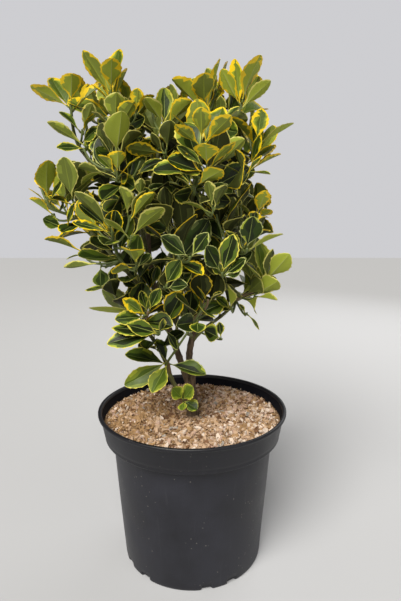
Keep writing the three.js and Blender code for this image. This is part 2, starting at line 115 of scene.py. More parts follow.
# Whorls of leaves that show in the photograph: the column and row of the shoot's tip there, with its y in
# millimetres and, if it has one of its own, its lean. Then each leaf: the column and row of its tip, how far
# behind the shoot's tip that is, and, where they aren't left to the rule, the blade's twist in degrees, its
# width as a share of its length, and how much painted light its colours get, painted shade below zero.
WHORLS = {
    "top_left": [
        ((111, 92, -20), [(111, 56, -20, 0, 0.62, 0.25), (84, 50, -10, 50, 0.42), (121, 50, 6, 0, 0.6, 0.15),
            (129, 70, 4, -30, None, 0.3), (92, 84, -6, 0, 0.4)]),
        ((136, 112, -16), [(138, 88, -4), (151, 92, -6, None, None, 0.25), (126, 96, -8)])],
    "left_shoulder": [
        ((71, 105, -22), [(71, 71, -14, 0, 0.7, 0.2), (32, 84, -8, 40, 0.45), (51, 79, 12),
            (101, 77, 6, 30, 0.3)]),
        ((82, 130, -20), [(92, 103, -8, -60, 0.5, -0.2), (61, 110, -10, -30, 0.5, -0.5),
            (90, 110, -12, 30, 0.5)]),
        ((87, 146, -18), [(49, 120, -8, 60, 0.34), (57, 147, -20, -30, 0.42, -0.4)])],
    "front_left": [
        ((115, 154, -98), [(123, 112, -18, 0, 0.78), (103, 122, -12, 40, 0.6, -0.7),
            (96, 132, 4, None, None, -0.6)]),
        ((115, 126, -66), [(116, 92, -12, 0, 0.75), (92, 112, 2, None, None, -0.25),
            (134, 101, -4, -30, None, 0.25)]),
        ((117, 172, -102), [(118, 151, -14, 0, 0.9), (101, 153, -8, 20, 0.7), (137, 154, -2, 0, 0.55)]),
        ((140, 198, -94), [(141, 178, -4, None, None, -0.25), (156, 186, 0, None, None, -0.25)])],
    "upper_mid": [
        ((165, 124, -42), [(147, 96, -14, 40, 0.6, 0.25), (190, 98, -12, -40, 0.6, 0.25), (164, 88, 6, 0, 0.5)]),
        ((166, 150, -62), [(171, 121, -14, 0, 0.7), (127, 150, -16, 45, 0.5, -0.3), (150, 134, -4, 30)])],
    "top_right": [
        ((204, 109, -32), [(202, 71, -22, 0, 0.66), (175, 76, -8, 50), (220, 59, 4, -50, 0.42)]),
        ((241, 103, -18), [(254, 52, -16, 20), (221, 70, -14, 40, 0.42), (234, 60, 18, 0, 0.35, -0.1),
            (269, 79, -6, -50, 0.42)]),
        ((221, 120, -30), [(222, 96, -8, None, None, -0.3), (240, 108, 2, None, None, -0.25)])],
    "front_right": [
        ((202, 141, -108), [(201, 107, -16, 0, 0.6), (231, 116, -12, -40, 0.55), (176, 124, -14, 30, 0.5),
            (178, 111, 4, 30, None, 0.2), (226, 110, 10)]),
        ((207, 166, -110), [(206, 141, -20, 0, 0.85), (180, 143, -8, -30, 0.6, -0.55), (230, 137, 0, -30),
            (167, 160, -14, -30)]),
        ((194, 186, -98), [(222, 166, -14, -45, 0.6), (176, 176, 2)]),
        ((213, 208, -98), [(208, 181, -10), (223, 183, -8), (184, 199, -4)]),
        ((244, 172, -78), [(236, 150, -8, None, None, -0.3), (222, 160, 0), (262, 156, 0, None, None, -0.2)])],
    "right_shoulder": [
        ((257, 141, -16), [(262, 108, -4), (294, 125, -2), (236, 108, -14, 0, 0.5)]),
        ((250, 167, -24), [(259, 134, -12, 0, 0.75), (279, 151, -2), (270, 174, -8)])],
    "left": [
        ((47, 200, -26), [(43, 158, -16, 0, 0.6, 0.3), (31, 186, -2), (60, 178, -4, 30)]),
        ((73, 200, -30), [(64, 157, -14, 0, 0.58, 0.2), (94, 172, -6), (53, 186, 6)]),
        ((66, 228, -30, 0.5), [(43, 219, -12, -45, 0.62, -0.4), (72, 202, -6)]),
        ((54, 214, -12), [(31, 197, -2, 20)])],
    "middle_left": [
        ((112, 228, -94), [(77, 190, -16, 45, 0.4), (77, 205, -8, -40, 0.42), (73, 221, -12, -30, 0.35),
            (113, 212, -10, 0, 0.6)]),
        ((129, 216, -98), [(122, 186, -14, 0, 0.62), (147, 191, -2, 0, 0.55), (153, 191, -12, -40, 0.38)]),
        ((131, 236, -102), [(161, 201, -14, -45, 0.42), (108, 214, -10, 30, 0.5)]),
        ((136, 263, -92), [(131, 246, -26, 0, 0.85), (139, 234, -2, 0, 0.75), (110, 268, -16, 60, 0.55),
            (151, 255, -8, 0, 0.5)]),
        ((100, 262, -60), [(64, 268, 0, 60, 0.3, 0.2), (99, 285, -12, 0, 1.0)]),
        ((84, 251, -46), [(47, 234, -4, 30, 0.45), (66, 256, -6, 0, 0.4)])],
    "middle": [
        ((190, 257, -106), [(160, 237, -12, -30, 0.55), (207, 233, -8, 20, 0.5)]),
        ((164, 287, -84), [(179, 261, -10, 30, 0.6), (186, 284, -12, 20)])],
    "middle_right": [
        ((247, 249, -94), [(254, 218, -14, 20, 0.72), (280, 229, -6, -45, 0.5, 0.45), (225, 232, 6)]),
        ((222, 273, -98), [(205, 246, -16, -30, 0.56), (232, 235, -10, 10, 0.5), (247, 259, -10, 20, 0.45),
            (243, 276, -10, 10, 0.4, -0.2), (213, 264, -6, None, None, -0.2)])],
    "right": [
        ((256, 215, -26), [(266, 191, -14, -20, 0.62, 0.5), (272, 207, -16, -40, 0.5, 0.4), (239, 205, -2)])],
    "low_right": [
        ((266, 279, -36), [(291, 256, -18, -70, 0.6), (273, 250, -12, 40, 0.45, -0.4), (257, 241, 2),
            (246, 264, -12)]),
        ((255, 294, -34), [(278, 280, -18, -70, 0.8), (278, 298, -14, -60, 0.45)]),
        ((232, 308, -44), [(228, 285, -12), (216, 297, 0)]),
        ((247, 313, -30), [(262, 328, 0, 0, 0.3), (240, 304, 4)])],
    "low_mid": [
        ((208, 300, -68), [(198, 286, -8, None, None, 0.3), (221, 292, -6)]),
        ((222, 339, -46, 2.0), [(205, 330, -10, 0, 0.9, 0.5), (234, 346, -4), (219, 322, 4)]),
        ((197, 319, -72, 1.0), [(198, 333, -16, 0, 0.95, 0.4)])],
    "low_left": [
        ((148, 312, -68), [(159, 289, -8, 40, 0.5, 0.35), (140, 291, -4, 0, 0.5), (90, 304, 0, 57, 0.32, 0.4),
            (124, 299, -10, -30, 0.45, 0.6), (117, 318, -14, -30, 0.5)]),
        ((160, 331, -74), [(112, 326, -10, 0, 0.42, 0.25), (106, 339, -16, -20, 0.42, 0.25),
            (128, 341, -22, -40, 0.5), (165, 322, -6, 30, 0.6)]),
        ((165, 326, -46), [(196, 299, -4), (177, 350, -2)]),
        ((112, 286, -50), [(85, 289, 0, 0, 0.4)])],
    "lowest": [
        ((168, 361, -25), [(125, 386, -20, -45, 0.42), (152, 392, -30, 0, 0.55), (207, 374, -18, 0),
            (126, 353, -6), (142, 347, 4)])],
    "sprig": [
        ((183, 399, -36), [(172, 388, -6), (192, 387, -6), (197, 409, -4), (182, 410, -8), (183, 390, 2)])],
}
# The crown's outline in the photograph, as columns and rows: leaves that grow by the rule stay inside it
OUTLINE = np.array([
    (84, 50), (104, 62), (115, 49), (127, 55), (128, 84), (154, 90), (175, 76), (196, 76), (220, 59), (236, 59),
    (254, 51), (258, 74), (271, 78), (255, 101), (268, 106), (272, 122), (294, 124), (273, 139), (279, 151),
    (258, 164), (268, 175), (255, 186), (272, 190), (280, 207), (272, 217), (280, 229), (260, 238), (275, 250),
    (291, 253), (272, 273), (280, 282), (280, 300), (258, 307), (262, 329), (240, 332), (225, 346), (205, 352),
    (196, 340), (180, 350), (140, 350), (106, 342), (112, 312), (90, 303), (112, 297), (86, 290), (90, 262),
    (64, 270), (66, 250), (46, 236), (42, 220), (31, 198), (32, 184), (42, 158), (53, 166), (61, 156), (76, 155),
    (88, 165), (92, 158), (78, 150), (84, 140), (76, 120), (66, 108), (50, 96), (32, 90), (31, 82), (50, 88),
    (62, 73), (73, 71), (82, 78), (96, 72)], float)
LONG_TWIG = {"from": (168, 361, -25), "to": (208, 300, -66), "radii": (1.7, 1.1), "bend": 12, "steps": 18}
SEED = 20261
WORD = 0xFFFFFFFF


def chance(*keys):
    """A number from 0 to 1 that depends only on the seed and on the whole numbers given."""
    h = SEED
    for key in keys:
        h = ((h ^ (key + 0x7F4A)) * 0x9E3779B1) & WORD
        h = ((h ^ (h >> 15)) * 0x85EBCA6B) & WORD
        h ^= h >> 13
    return h / (WORD + 1)


def spread(*keys):
    return 2 * chance(*keys) - 1


def mix(a, b, t):
    return a + (b - a) * t


def unit(v):
    return v / np.linalg.norm(v)


def square_to(way, side):
    """The side direction made square to a way."""
    return unit(side - way * np.dot(side, way))


def turned(v, axis, angle):
    """v turned about a unit axis by angle, in radians."""
    return (v * math.cos(angle) + np.cross(axis, v) * math.sin(angle)
            + axis * np.dot(axis, v) * (1 - math.cos(angle)))


def round_turns(count):
    return np.arange(count) * 2 * math.pi / count


def rough(x, y, z):
    return noise.noise(Vector((x, y, z)))


# ---- paths ----
def spaced(points, count):
    """count + 1 points evenly spaced along a fine polyline."""
    points = np.asarray(points, float)
    run = np.concatenate([[0], np.cumsum(np.linalg.norm(np.diff(points, axis=0), axis=1))])
    at = np.linspace(0, run[-1], count + 1)
    return np.stack([np.interp(at, run, points[:, k]) for k in range(3)], axis=1)


def path_length(points):
    return float(np.linalg.norm(np.diff(points, axis=0), axis=1).sum())


def through(points, fine=24):
    """A centripetal Catmull-Rom curve through the points, as a fine polyline."""
    p = [np.asarray(q, float) for q in points]
    p = [2 * p[0] - p[1], *p, 2 * p[-1] - p[-2]]
    out = []
    for i in range(1, len(p) - 2):
        d = [math.sqrt(np.linalg.norm(p[i + k] - p[i + k - 1])) for k in range(3)]
        a, b, c, e = p[i - 1:i + 3]
        m1 = ((b - a) / d[0] - (c - a) / (d[0] + d[1]) + (c - b) / d[1]) * d[1]
        m2 = ((c - b) / d[1] - (e - b) / (d[1] + d[2]) + (e - c) / d[2]) * d[1]
        for t in np.arange(fine) / fine:
            out.append(b + m1 * t + (-3 * b + 3 * c - 2 * m1 - m2) * t**2 + (2 * b - 2 * c + m1 + m2) * t**3)
    return np.array([*out, p[-2]])


def bezier(*corners, fine=40):
    """A Bezier curve with these corners, as a fine polyline."""
    n = len(corners) - 1
    t = np.linspace(0, 1, fine + 1)[:, None]
    return sum(math.comb(n, k) * (1 - t)**(n - k) * t**k * np.asarray(c, float) for k, c in enumerate(corners))


def point_on(path, share):
    place = min(max(share, 0), 1) * (len(path) - 1)
    before = min(int(place), len(path) - 2)
    return mix(path[before], path[before + 1], place - before)


def way_on(path, share):
    before = min(max(int(share * (len(path) - 1)), 0), len(path) - 2)
    return unit(path[before + 1] - path[before])


# ---- places in the photograph ----
def seen_at(column, row, y):
    """The place that shows at a column and row of the photograph, at a given y."""
    x, front, z = CAMERA["at"]
    rise = (PHOTO["middle_row"] - row) / FOCAL
    up = (y - front) * (rise * math.cos(PITCH) - math.sin(PITCH)) / (math.cos(PITCH) + rise * math.sin(PITCH))
    depth = (y - front) * math.cos(PITCH) - up * math.sin(PITCH)
    return np.array((x + (column - PHOTO["middle_column"]) / FOCAL * depth, y, z + up))


def on_photo(points):
    """The column, the row and the depth that points have in the photograph."""
    across, ahead, above = (np.reshape(points, (-1, 3)) - CAMERA["at"]).T
    depth = ahead * math.cos(PITCH) - above * math.sin(PITCH)
    height = ahead * math.sin(PITCH) + above * math.cos(PITCH)
    return PHOTO["middle_column"] + FOCAL * across / depth, PHOTO["middle_row"] - FOCAL * height / depth, depth


def inside_polygon(corners, column, row):
    inside = np.zeros(len(row), bool)
    for (x1, y1), (x2, y2) in zip(corners, np.roll(corners, -1, axis=0)):
        if y1 != y2:
            inside ^= ((y1 > row) != (y2 > row)) & (column < x1 + (x2 - x1) * (row - y1) / (y2 - y1))
    return inside


# ---- meshes ----
class Heap:
    """The points and faces of one piece, gathered bit by bit."""

    def __init__(self):
        self.points, self.faces, self.slots, self.uvs, self.rims = [], [], [], [], []
        self.count = 0

    def add(self, points, faces, slots=0, uvs=None, rims=None):
        points = np.asarray(points, float).reshape(-1, 3)
        for k, block in enumerate(faces):
            self.faces.extend((np.asarray(block) + self.count).tolist())
            self.slots.append(np.broadcast_to(slots[k] if isinstance(slots, list) else slots, len(block)))
        self.points.append(points)
        self.uvs.append(np.zeros((len(points), 2)) if uvs is None else uvs)
        self.rims.append(np.zeros(len(points), bool) if rims is None else rims)
        self.count += len(points)

    def piece(self, name, materials, slot, *replaced, smooth=True):
        """Makes the piece. An edge between two points of a rim is sharp."""
        mesh = bpy.data.meshes.new(name)
        mesh.from_pydata((np.concatenate(self.points) * MM).tolist(), [], self.faces)
        for material in materials:
            mesh.materials.append(material)
        mesh.polygons.foreach_set("material_index", np.concatenate(self.slots).astype(np.int32))
        mesh.polygons.foreach_set("use_smooth", np.full(len(mesh.polygons), smooth))
        corners = np.empty(len(mesh.loops), np.int32)
        mesh.loops.foreach_get("vertex_index", corners)
        layer = mesh.uv_layers.new(name="UVMap")
        layer.data.foreach_set("uv", np.concatenate(self.uvs)[corners].astype(np.float32).ravel())
        rims = np.concatenate(self.rims)
        if rims.any():
            ends = np.empty(2 * len(mesh.edges), np.int32)
            mesh.edges.foreach_get("vertices", ends)
            sharp = mesh.attributes.new("sharp_edge", "BOOLEAN", "EDGE")
            sharp.data.foreach_set("value", rims[ends.reshape(-1, 2)].all(axis=1))
        mesh.update()
        obj = linked(name, mesh)
        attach(obj, "root")
        if replaced:
            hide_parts(*replaced)


def linked(name, data):
    obj = bpy.data.objects.new(name, data)
    bpy.context.scene.collection.objects.link(obj)
    return obj


def grid_faces(rows, columns, closed=False):
    """Quads between neighbouring rows and columns of points; closed joins the last column to the first."""
    i, j = np.meshgrid(np.arange(rows - 1), np.arange(columns if closed else columns - 1), indexing="ij")
    i, j = i.ravel(), j.ravel()
    k = (j + 1) % columns
    return np.stack([i * columns + j, i * columns + k, (i + 1) * columns + k, (i + 1) * columns + j], axis=1)


def frames_along(path):
    """A tangent, a side and a third direction at each point of a path, turning as little as they can."""
    ways = np.gradient(path, axis=0)
    side = RIGHT if abs(unit(ways[0])[0]) < 0.9 else np.array((0, 1.0, 0))
    frames = []
    for way in ways:
        way = unit(way)
        side = square_to(way, side)
        frames.append((way, side, np.cross(way, side)))
    return frames


def tube(heap, path, radius_at, sides, slots=0, dome=True):
    """A round bar along a path. radius_at(share, turn) gives its radius. Its tip is domed."""
    turns = round_turns(sides)
    rings, last = [], len(path) - 1
    frames = frames_along(path)
    for i, (way, side, other) in enumerate(frames):
        radii = np.array([radius_at(i / last, turn) for turn in turns])
        rings.append(path[i] + np.outer(radii * np.cos(turns), side) + np.outer(radii * np.sin(turns), other))
    if dome:
        way, tip = frames[-1][0], path[-1]
        for lift, narrow in ((0.5, 0.86), (0.86, 0.5)):
            width = np.linalg.norm(rings[last][0] - tip)
            rings.append(tip + (rings[last] - tip) * narrow + way * width * lift)
    points = np.concatenate([*rings, [path[0]], [rings[-1].mean(axis=0) + frames[-1][0] * 0.1]])
    count = len(rings) * sides
    ring = np.arange(sides)
    after = (ring + 1) % sides
    start = np.stack([np.full(sides, count), after, ring], axis=1)
    end = np.stack([np.full(sides, count + 1), count - sides + ring, count - sides + after], axis=1)
    heap.add(points, [grid_faces(len(rings), sides, closed=True), start, end], slots)


# ---- materials ----
VEINS = {"slant": 0.22, "pitch": 52.0, "narrow": 6.0, "depth": 0.5}


class Finish:
    """A material, or the world, built node by node. An input is a number, a colour or another node's output."""

    def __init__(self, block, shader="Principled BSDF", **sockets):
        block.use_nodes = True
        self.block, self.tree = block, block.node_tree
        self.shader = self.tree.nodes[shader]
        self.set(**sockets)

    def feed(self, socket, value):
        if isinstance(value, bpy.types.NodeSocket):
            self.tree.links.new(value, socket)
        else:
            socket.default_value = (*value, 1) if socket.type == "RGBA" else value

    def set(self, **sockets):
        """Sets the shader's own sockets, or links them."""
        for name, value in sockets.items():
            self.feed(self.shader.inputs[name.replace("_", " ")], value)

    def node(self, kind, inputs, output=0, **settings):
        made = self.tree.nodes.new("ShaderNode" + kind)
        for name, value in settings.items():
            setattr(made, name, value)
        for name, value in inputs.items():
            self.feed(made.inputs[name], value)
        return made.outputs[output]

    def place(self, *stretch):
        """Places on the object; a stretch below 1 draws a pattern out along that axis."""
        at = self.node("TexCoord", {}, "Object")
        return self.node("Mapping", {"Vector": at, "Scale": stretch}) if stretch else at

    def grain(self, place, scale, detail=3, roughness=0.55):
        return self.node("TexNoise", {"Vector": place, "Scale": scale, "Detail": detail, "Roughness": roughness},
                         "Fac")

    def cells(self, place, scale):
        return self.node("TexVoronoi", {"Vector": place, "Scale": scale}, "Distance")

    def maths(self, operation, a, b=0.0, c=0.0):
        return self.node("Math", {0: a, 1: b, 2: c}, operation=operation)

    def ranged(self, value, low, high, to_low, to_high):
        return self.node("MapRange", {"Value": value, "From Min": low, "From Max": high, "To Min": to_low,
                                      "To Max": to_high})

    def blend(self, share, a, b):
        return self.node("Mix", {0: share, 6: a, 7: b}, 2, data_type="RGBA")

    def bump(self, height, strength, distance):
        self.set(Normal=self.node("Bump", {"Height": height, "Strength": strength, "Distance": distance}))

    def vary_roughness(self, value, low, high):
        self.set(Roughness=self.ranged(value, 0.3, 0.7, low, high))


def finish(name, colour, roughness, **sockets):
    return Finish(bpy.data.materials.new(name), Base_Color=colour, Roughness=roughness, **sockets)


def leaf_finish(name, colour, roughness, gloss):
    """A leaf finish: one colour, with side veins and a leathery grain in the relief and the gloss."""
    made = finish(name, colour, roughness, Specular_IOR_Level=gloss)
    # u runs from -1 to 1 across the blade, v from 0 to 1 along it; the side veins slant towards the tip
    uv = made.node("TexCoord", {}, "UV")
    u, v = [made.node("SeparateXYZ", {"Vector": uv}, axis) for axis in "XY"]
    slant = made.maths("MULTIPLY_ADD", made.maths("ABSOLUTE", u), -VEINS["slant"], v)
    wave = made.maths("SINE", made.maths("MULTIPLY", slant, VEINS["pitch"]))
    veins = made.maths("POWER", made.maths("MULTIPLY_ADD", wave, 0.5, 0.5), VEINS["narrow"])
    made.bump(made.maths("MULTIPLY_ADD", veins, -VEINS["depth"], made.grain(made.place(), 420.0)), 0.35, 0.0004)
    made.vary_roughness(made.grain(made.place(), 90.0, 2), roughness - 0.07, roughness + 0.09)
    return made.block


# Each finish's colour, roughness and gloss
LEAF_FINISHES = {
    "leaf_dark": ((0.012, 0.020, 0.004), 0.42, 0.22),
    "leaf_deep": ((0.024, 0.044, 0.005), 0.42, 0.22),
    "leaf_grey": ((0.085, 0.108, 0.026), 0.44, 0.30),
    "leaf_green": ((0.078, 0.122, 0.010), 0.44, 0.30),
    "leaf_fresh": ((0.180, 0.226, 0.018), 0.45, 0.30),
    "leaf_lime": ((0.330, 0.375, 0.030), 0.45, 0.30),
    "margin_gold": ((0.880, 0.610, 0.009), 0.46, 0.32),
    "margin_yellow": ((0.660, 0.580, 0.080), 0.46, 0.32),
    "margin_pale": ((0.460, 0.480, 0.160), 0.46, 0.32),
    "petiole": ((0.150, 0.180, 0.040), 0.50, 0.30),
    "leaf_rib": ((0.200, 0.250, 0.055), 0.45, 0.30),
    # under_deep to under_light are one underside colour in steps from painted shade to painted light
    "under_deep": ((0.031, 0.037, 0.008), 0.62, 0.20),
    "under_dull": ((0.078, 0.090, 0.019), 0.62, 0.24),
    "under_mid": ((0.130, 0.158, 0.026), 0.62, 0.24),
    "under_olive": ((0.205, 0.245, 0.036), 0.62, 0.24),
    "under_light": ((0.345, 0.400, 0.044), 0.62, 0.24),
    "under_rib": ((0.380, 0.420, 0.120), 0.60, 0.24),
    "under_margin": ((0.620, 0.580, 0.150), 0.58, 0.24),
    "under_gold": ((0.900, 0.630, 0.022), 0.55, 0.24),
}
FINISH = {name: k for k, name in enumerate(LEAF_FINISHES)}
TWIG_FINISHES = {"twig_green": ((0.13, 0.165, 0.045), 0.5), "twig_brown": ((0.20, 0.14, 0.07), 0.65)}
# The two ends of each kind of bark, and its corky spots
BARK_FINISHES = {
    "bark_old": ((0.19, 0.128, 0.078), (0.052, 0.032, 0.02), (0.12, 0.105, 0.06)),
    "bark_young": ((0.19, 0.21, 0.065), (0.10, 0.085, 0.035), (0.17, 0.23, 0.055)),
}


def twig_finish(name, colour, roughness):
    made = finish(name, colour, roughness)
    grain = made.grain(made.place(1, 1, 0.3), 900.0)
    made.bump(grain, 0.4, 0.0003)
    made.vary_roughness(grain, roughness - 0.08, roughness + 0.1)
    return made.block


def bark_finish(name, light, dark, spot):
    """Bark in two tones that run along the limb, with fine furrows and corky spots."""
    made = finish(name, light, 0.8)
    streaks = made.grain(made.place(1, 1, 0.16), 380.0, 5, 0.65)
    tone = made.blend(made.ranged(streaks, 0.36, 0.62, 0.0, 1.0), dark, light)
    patches = made.ranged(made.grain(made.place(), 60.0), 0.5, 0.68, 0.0, 0.6)
    made.set(Base_Color=made.blend(patches, tone, spot))
    cork = made.cells(made.place(), 230.0)
    made.bump(made.maths("MULTIPLY_ADD", cork, 0.4, streaks), 0.8, 0.0008)
    made.vary_roughness(streaks, 0.9, 0.68)
    return made.block


def pot_finish(name, gloss, roughness):
    """Charcoal plastic with upright drawing marks, faint scratches and specks of dust."""
    made = finish(name, (0.03, 0.031, 0.036), roughness, Specular_IOR_Level=gloss)
    place = made.place()
    marks = made.grain(made.place(1, 1, 0.06), 120.0, 4, 0.6)
    clouds = made.grain(place, 14.0, 4, 0.6)
    tone = made.blend(made.ranged(clouds, 0.35, 0.7, 0.0, 1.0), (0.006, 0.006, 0.010), (0.018, 0.0185, 0.027))
    tone = made.blend(made.ranged(marks, 0.6, 0.8, 0.0, 0.35), tone, (0.044, 0.045, 0.052))
    dust = made.maths("MULTIPLY", made.maths("LESS_THAN", made.cells(place, 160.0), 0.11),
                      made.maths("GREATER_THAN", made.grain(place, 22.0, 2), 0.56))
    tone = made.blend(made.maths("MULTIPLY", dust, 0.4), tone, (0.30, 0.28, 0.25))
    # painted shade from the rim: the collar is darkened below the body's colour; its foot is at this height, in
    # metres
    height = made.node("SeparateXYZ", {"Vector": place}, "Z")
    made.set(Base_Color=made.blend(made.ranged(height, 0.163, 0.172, 0.0, 0.55), tone, (0.004, 0.004, 0.006)))
    made.bump(made.maths("MULTIPLY_ADD", marks, 0.7, made.grain(place, 900.0, 2)), 0.25, 0.0004)
    made.vary_roughness(clouds, roughness - 0.1, roughness + 0.08)
    return made.block


def chip_finish(name, colour):
    """One tint of wood chip, with fibres and pores in its relief."""
    made = finish(name, colour, 0.85, Specular_IOR_Level=0.25)
    fibres = made.grain(made.place(1, 0.3, 1), 1300.0, 4, 0.7)
    lumps = made.grain(made.place(), 500.0)
    made.bump(made.maths("ADD", fibres, lumps), 0.7, 0.0009)
    made.vary_roughness(lumps, 0.75, 0.95)
    return made.block


# ---- pot ----
POT = {"height": 203, "rim": 123, "bead": 4, "collar_top": 120, "collar_foot": 114.5, "collar": 35,
       "body_top": 105, "foot": 92, "wall": 2, "sides": 360, "wobble": 0.35}
NOTCH = {"pairs": 5, "first_turn": 22, "half_spread": 10.5, "width": 13, "depth": 3.2, "height": 6, "slope": 0.8,
         "first_row": 3}
STEP = POT["height"] - POT["collar"]
BEAD = POT["height"] - POT["bead"]


def rounded(r, z, *places):
    """Places out of and above a corner of the pot's profile."""
    return [(r + out, z + up) for out, up in places]


def straight(r1, z1, r2, z2, shares):
    return [(mix(r1, r2, share), mix(z1, z2, share)) for share in shares]


def make_pot():
    rim, foot, body_top = POT["rim"], POT["foot"], POT["body_top"]
    collar_foot, collar_top, wall = POT["collar_foot"], POT["collar_top"], POT["wall"]
    outside = [
        *rounded(foot, 0, (-26, 3.0), (-20, 3.0), (-16, 0.3), (-2.4, 0.0), (-0.8, 0.5), (0, 1.8), (0.35, 4.0),
                 (0.5, 6.0), (0.6, 7.2)),
        *straight(foot, 0, body_top, STEP, np.linspace(0.08, 1, 16)[:-1]),
        *rounded(body_top, STEP, (-0.2, -4), (0.4, -1.6), (2.2, -0.5)),
        *rounded(collar_foot, STEP, (-1.6, -0.3), (-0.3, 0.1), (0.25, 0.9), (0.3, 2.4), (0.1, 4.5)),
        *straight(collar_foot, STEP, collar_top, BEAD, np.linspace(0.2, 0.94, 9)),
        (collar_top + 0.2, BEAD - 0.8),
        *rounded(rim, BEAD, (-1.2, -0.3), (-0.3, 0.4), (0, 1.3)),
        *rounded(rim, POT["height"], (0, -1.2), (-0.4, -0.35), (-1.3, 0), (-3.6, -0.1), (-4.4, -0.6))]
    inside = straight(collar_top - wall, BEAD, collar_foot - wall, STEP + 3, (0, 0.3, 0.6, 1))
    profile = [*outside, *inside]
    turns = round_turns(POT["sides"])
    notches = [math.radians(-90 + NOTCH["first_turn"] + 360 / NOTCH["pairs"] * pair + hand * NOTCH["half_spread"])
               for pair in range(NOTCH["pairs"]) for hand in (-1, 1)]
    points = np.empty((len(profile), len(turns), 3))
    for i, (r, z) in enumerate(profile):
        for j, turn in enumerate(turns):
            radius = r + POT["wobble"] * rough(math.cos(turn) * 1.2, math.sin(turn) * 1.2, z * 0.012)
            if i >= NOTCH["first_row"] and z < NOTCH["height"] + 0.1:
                arc = min(abs((turn - n + math.pi) % (2 * math.pi) - math.pi) for n in notches) * r
                inward = (NOTCH["width"] / 2 + NOTCH["slope"] - arc) / NOTCH["slope"]
                radius -= NOTCH["depth"] * min(1, max(0, inward))
            points[i, j] = radius * math.cos(turn), radius * math.sin(turn), z
    heap = Heap()
    underside = np.arange(POT["sides"])[None, ::-1]
    slots = np.repeat((np.arange(len(profile) - 1) >= len(outside)).astype(int), POT["sides"])
    heap.add(points, [grid_faces(len(profile), POT["sides"], closed=True), underside], [slots, 0])
    finishes = [pot_finish("pot_plastic", 0.45, 0.5), pot_finish("pot_inside", 0.1, 0.8)]
    heap.piece("pot_moulding", finishes, "pot_plastic", "pot")


# ---- wood chips ----
MULCH = {"radius": 115.6, "edge": 189.0, "dome": 2.5, "front_rise": 6.0, "hollow": 4.5, "hollow_radius": 22,
         "rings": 44, "sides": 132, "floor": 170, "foot": 0.955, "sunk": 1.2, "crumbs": 0.9,
         "crumbly": 0.5, "front_power": 1.2}
CHIPS = {"count": 7600, "shortest": 2.1, "longer": 9.0, "rarity": 3.0, "clear": 9, "five_cornered": 5, "seed": 7,
         "lean": 0.55, "roll": 0.6, "ragged": 0.14, "taper": 0.86, "inset": 0.62, "uneven": 0.7,
         "wide": (0.22, 0.5), "thick": (0.12, 0.25), "lift": (-0.8, 2.4), "patch": 4}
# Broad and small lumps of the surface: how high, how close, and where in the noise
LUMPS = [(1.9, 0.045, 3.0), (0.8, 0.16, 9.0)]
# Each tint of chip, its share, and where it is commoner: a middle and a reach on the surface
CHIP_TINTS = {
    "chip_tan": ((0.37, 0.225, 0.108), 0.30, (-60, -10), 60),
    "chip_sand": ((0.53, 0.365, 0.240), 0.24, (20, -60), 80),
    "chip_cream": ((0.70, 0.575, 0.475), 0.13, (70, -55), 55),
    "chip_rose": ((0.50, 0.340, 0.260), 0.12, (50, 60), 50),
    "chip_brown": ((0.18, 0.092, 0.045), 0.12, (-14, -14), 34),
    "chip_grey": ((0.36, 0.320, 0.280), 0.02, (-32, -76), 20),
}


def mulch_height(x, y):
    r = math.hypot(x, y)
    height = MULCH["edge"] + MULCH["dome"] * (1 - (r / MULCH["radius"])**2)
    height += MULCH["front_rise"] * max(0.0, -y / MULCH["radius"])**MULCH["front_power"]
    height -= MULCH["hollow"] * math.exp(-(r / MULCH["hollow_radius"])**2)
    for high, close, at in LUMPS:
        height += high * rough(x * close, y * close, at)
    return height


